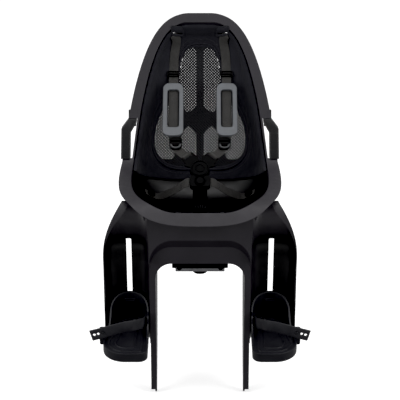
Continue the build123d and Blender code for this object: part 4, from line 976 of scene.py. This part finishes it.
def tongue_loop(side, sign):
    """Webbing folded round the bar of a tongue."""
    middle = button + harness_up * DISC_UP
    away = on_harness(sign * math.cos(LOOP_TURN), math.sin(LOOP_TURN))
    along = on_harness(-sign * math.sin(LOOP_TURN), math.cos(LOOP_TURN))
    bar = middle + away * LOOP_OUT + harness_out * (min(heights(f"buckle_tongue_{side}", middle)) + LOOP_LIFT)
    points, uvs = [], []
    for shift in np.linspace(-LOOP_WIDTH / 2, LOOP_WIDTH / 2, LOOP_STEPS):
        for number, (cosine, sine) in enumerate(turns(LOOP_SIDES)):
            points.append(bar + along * shift + LOOP_RADIUS * (away * cosine + harness_out * sine))
            uvs.append((shift, 2 * math.pi * number / LOOP_SIDES * LOOP_RADIUS))
    faces = ring_faces(LOOP_STEPS, LOOP_SIDES, False)
    return new_piece(f"tongue_loop_{side}", points, faces, "webbing", uvs=uvs)


def adjuster_lip(side, sign):
    """Half-round pressing edge on the lower half of an adjuster."""
    low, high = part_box(f"strap_adjuster_{side}")
    middle = np.array((low + high) / 2)
    base = middle + harness_out * max(heights(f"strap_adjuster_{side}", middle)) - harness_up * LIP_DOWN
    points = []
    for angle in np.linspace(math.pi, 2 * math.pi, LIP_STEPS):
        cosine, sine = sign * math.cos(angle), math.sin(angle)
        away = on_harness(cosine, sine)
        place = base + on_harness(cosine * LIP_WIDE, sine * LIP_HIGH)
        for curl_cosine, curl_sine in turns(LIP_SIDES):
            rise = harness_out * (LIP_BASE + LIP_RISE * curl_sine)
            points.append(place + away * LIP_THICK * curl_cosine + rise)
    faces = ring_faces(LIP_STEPS, LIP_SIDES, False)
    return new_piece(f"adjuster_lip_{side}", points, faces, "fitting", material=lip_finish)


for make in (tongue_loop, adjuster_lip):
    for side, sign in SIDES:
        make(side, sign)


# Rubber foot straps and side handles

FLAT_ANGLE, BEVEL_ANGLE, SHARP_ANGLE = math.radians(1), math.radians(35), math.radians(50)


def rounded_copy(name, node, body, material, width, segments):
    """Copy of a CAD piece with rounded edges."""
    shape = bmesh.new()
    shape.from_mesh(nodes[node].data)
    bmesh.ops.remove_doubles(shape, verts=shape.verts, dist=WELD)
    bmesh.ops.dissolve_limit(shape, angle_limit=FLAT_ANGLE, verts=shape.verts, edges=shape.edges)
    sharp = [edge for edge in shape.edges if edge.is_manifold and edge.calc_face_angle() > BEVEL_ANGLE]
    bmesh.ops.bevel(shape, geom=sharp, offset=width, segments=segments, profile=0.5, affect="EDGES",
                    clamp_overlap=True)
    mesh = bpy.data.meshes.new(name)
    shape.to_mesh(mesh)
    shape.free()
    mesh.polygons.foreach_set("use_smooth", [True] * len(mesh.polygons))
    mesh.set_sharp_from_angle(angle=SHARP_ANGLE)
    mesh.materials.append(material)
    piece = bpy.data.objects.new(name, mesh)
    scene.collection.objects.link(piece)
    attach(piece, body)
    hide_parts(node)


for side, _ in SIDES:
    rounded_copy(f"foot_rubber_{side}", f"foot_strap_{side}", f"footrest_{side}", looks["strap"],
                 width=0.0008, segments=3)
    rounded_copy(f"handle_grip_{side}", f"side_handle_{side}", "seat", handle_finish,
                 width=0.005, segments=6)


# Floor

FLOOR_REACH, FLOOR_STEPS, FLOOR_GAP = 14.0, 8, 0.001
FLOOR_GLOW = {"Emission_Color": (1, 1, 1, 1), "Emission_Strength": 0.45}


def floor_piece():
    """Pale floor that shows in the picture but throws no light on the seat."""
    level = cad_box[0].z - FLOOR_GAP
    places = [FLOOR_REACH * (2 * step / FLOOR_STEPS - 1) for step in range(FLOOR_STEPS + 1)]
    points = [(across, back, level) for back in places for across in places]
    row_length = len(places)
    faces = []
    for row in range(FLOOR_STEPS):
        for column in range(FLOOR_STEPS):
            first = row * row_length + column
            faces.append((first, first + 1, first + row_length + 1, first + row_length))
    mesh = bpy.data.meshes.new("floor")
    mesh.from_pydata(points, [], faces)
    mesh.materials.append(start("floor_paint", (0.9, 0.9, 0.9), 0.9, **FLOOR_GLOW)[0])
    floor = bpy.data.objects.new("floor", mesh)
    scene.collection.objects.link(floor)
    floor.visible_diffuse = False
    floor.visible_glossy = False


floor_piece()
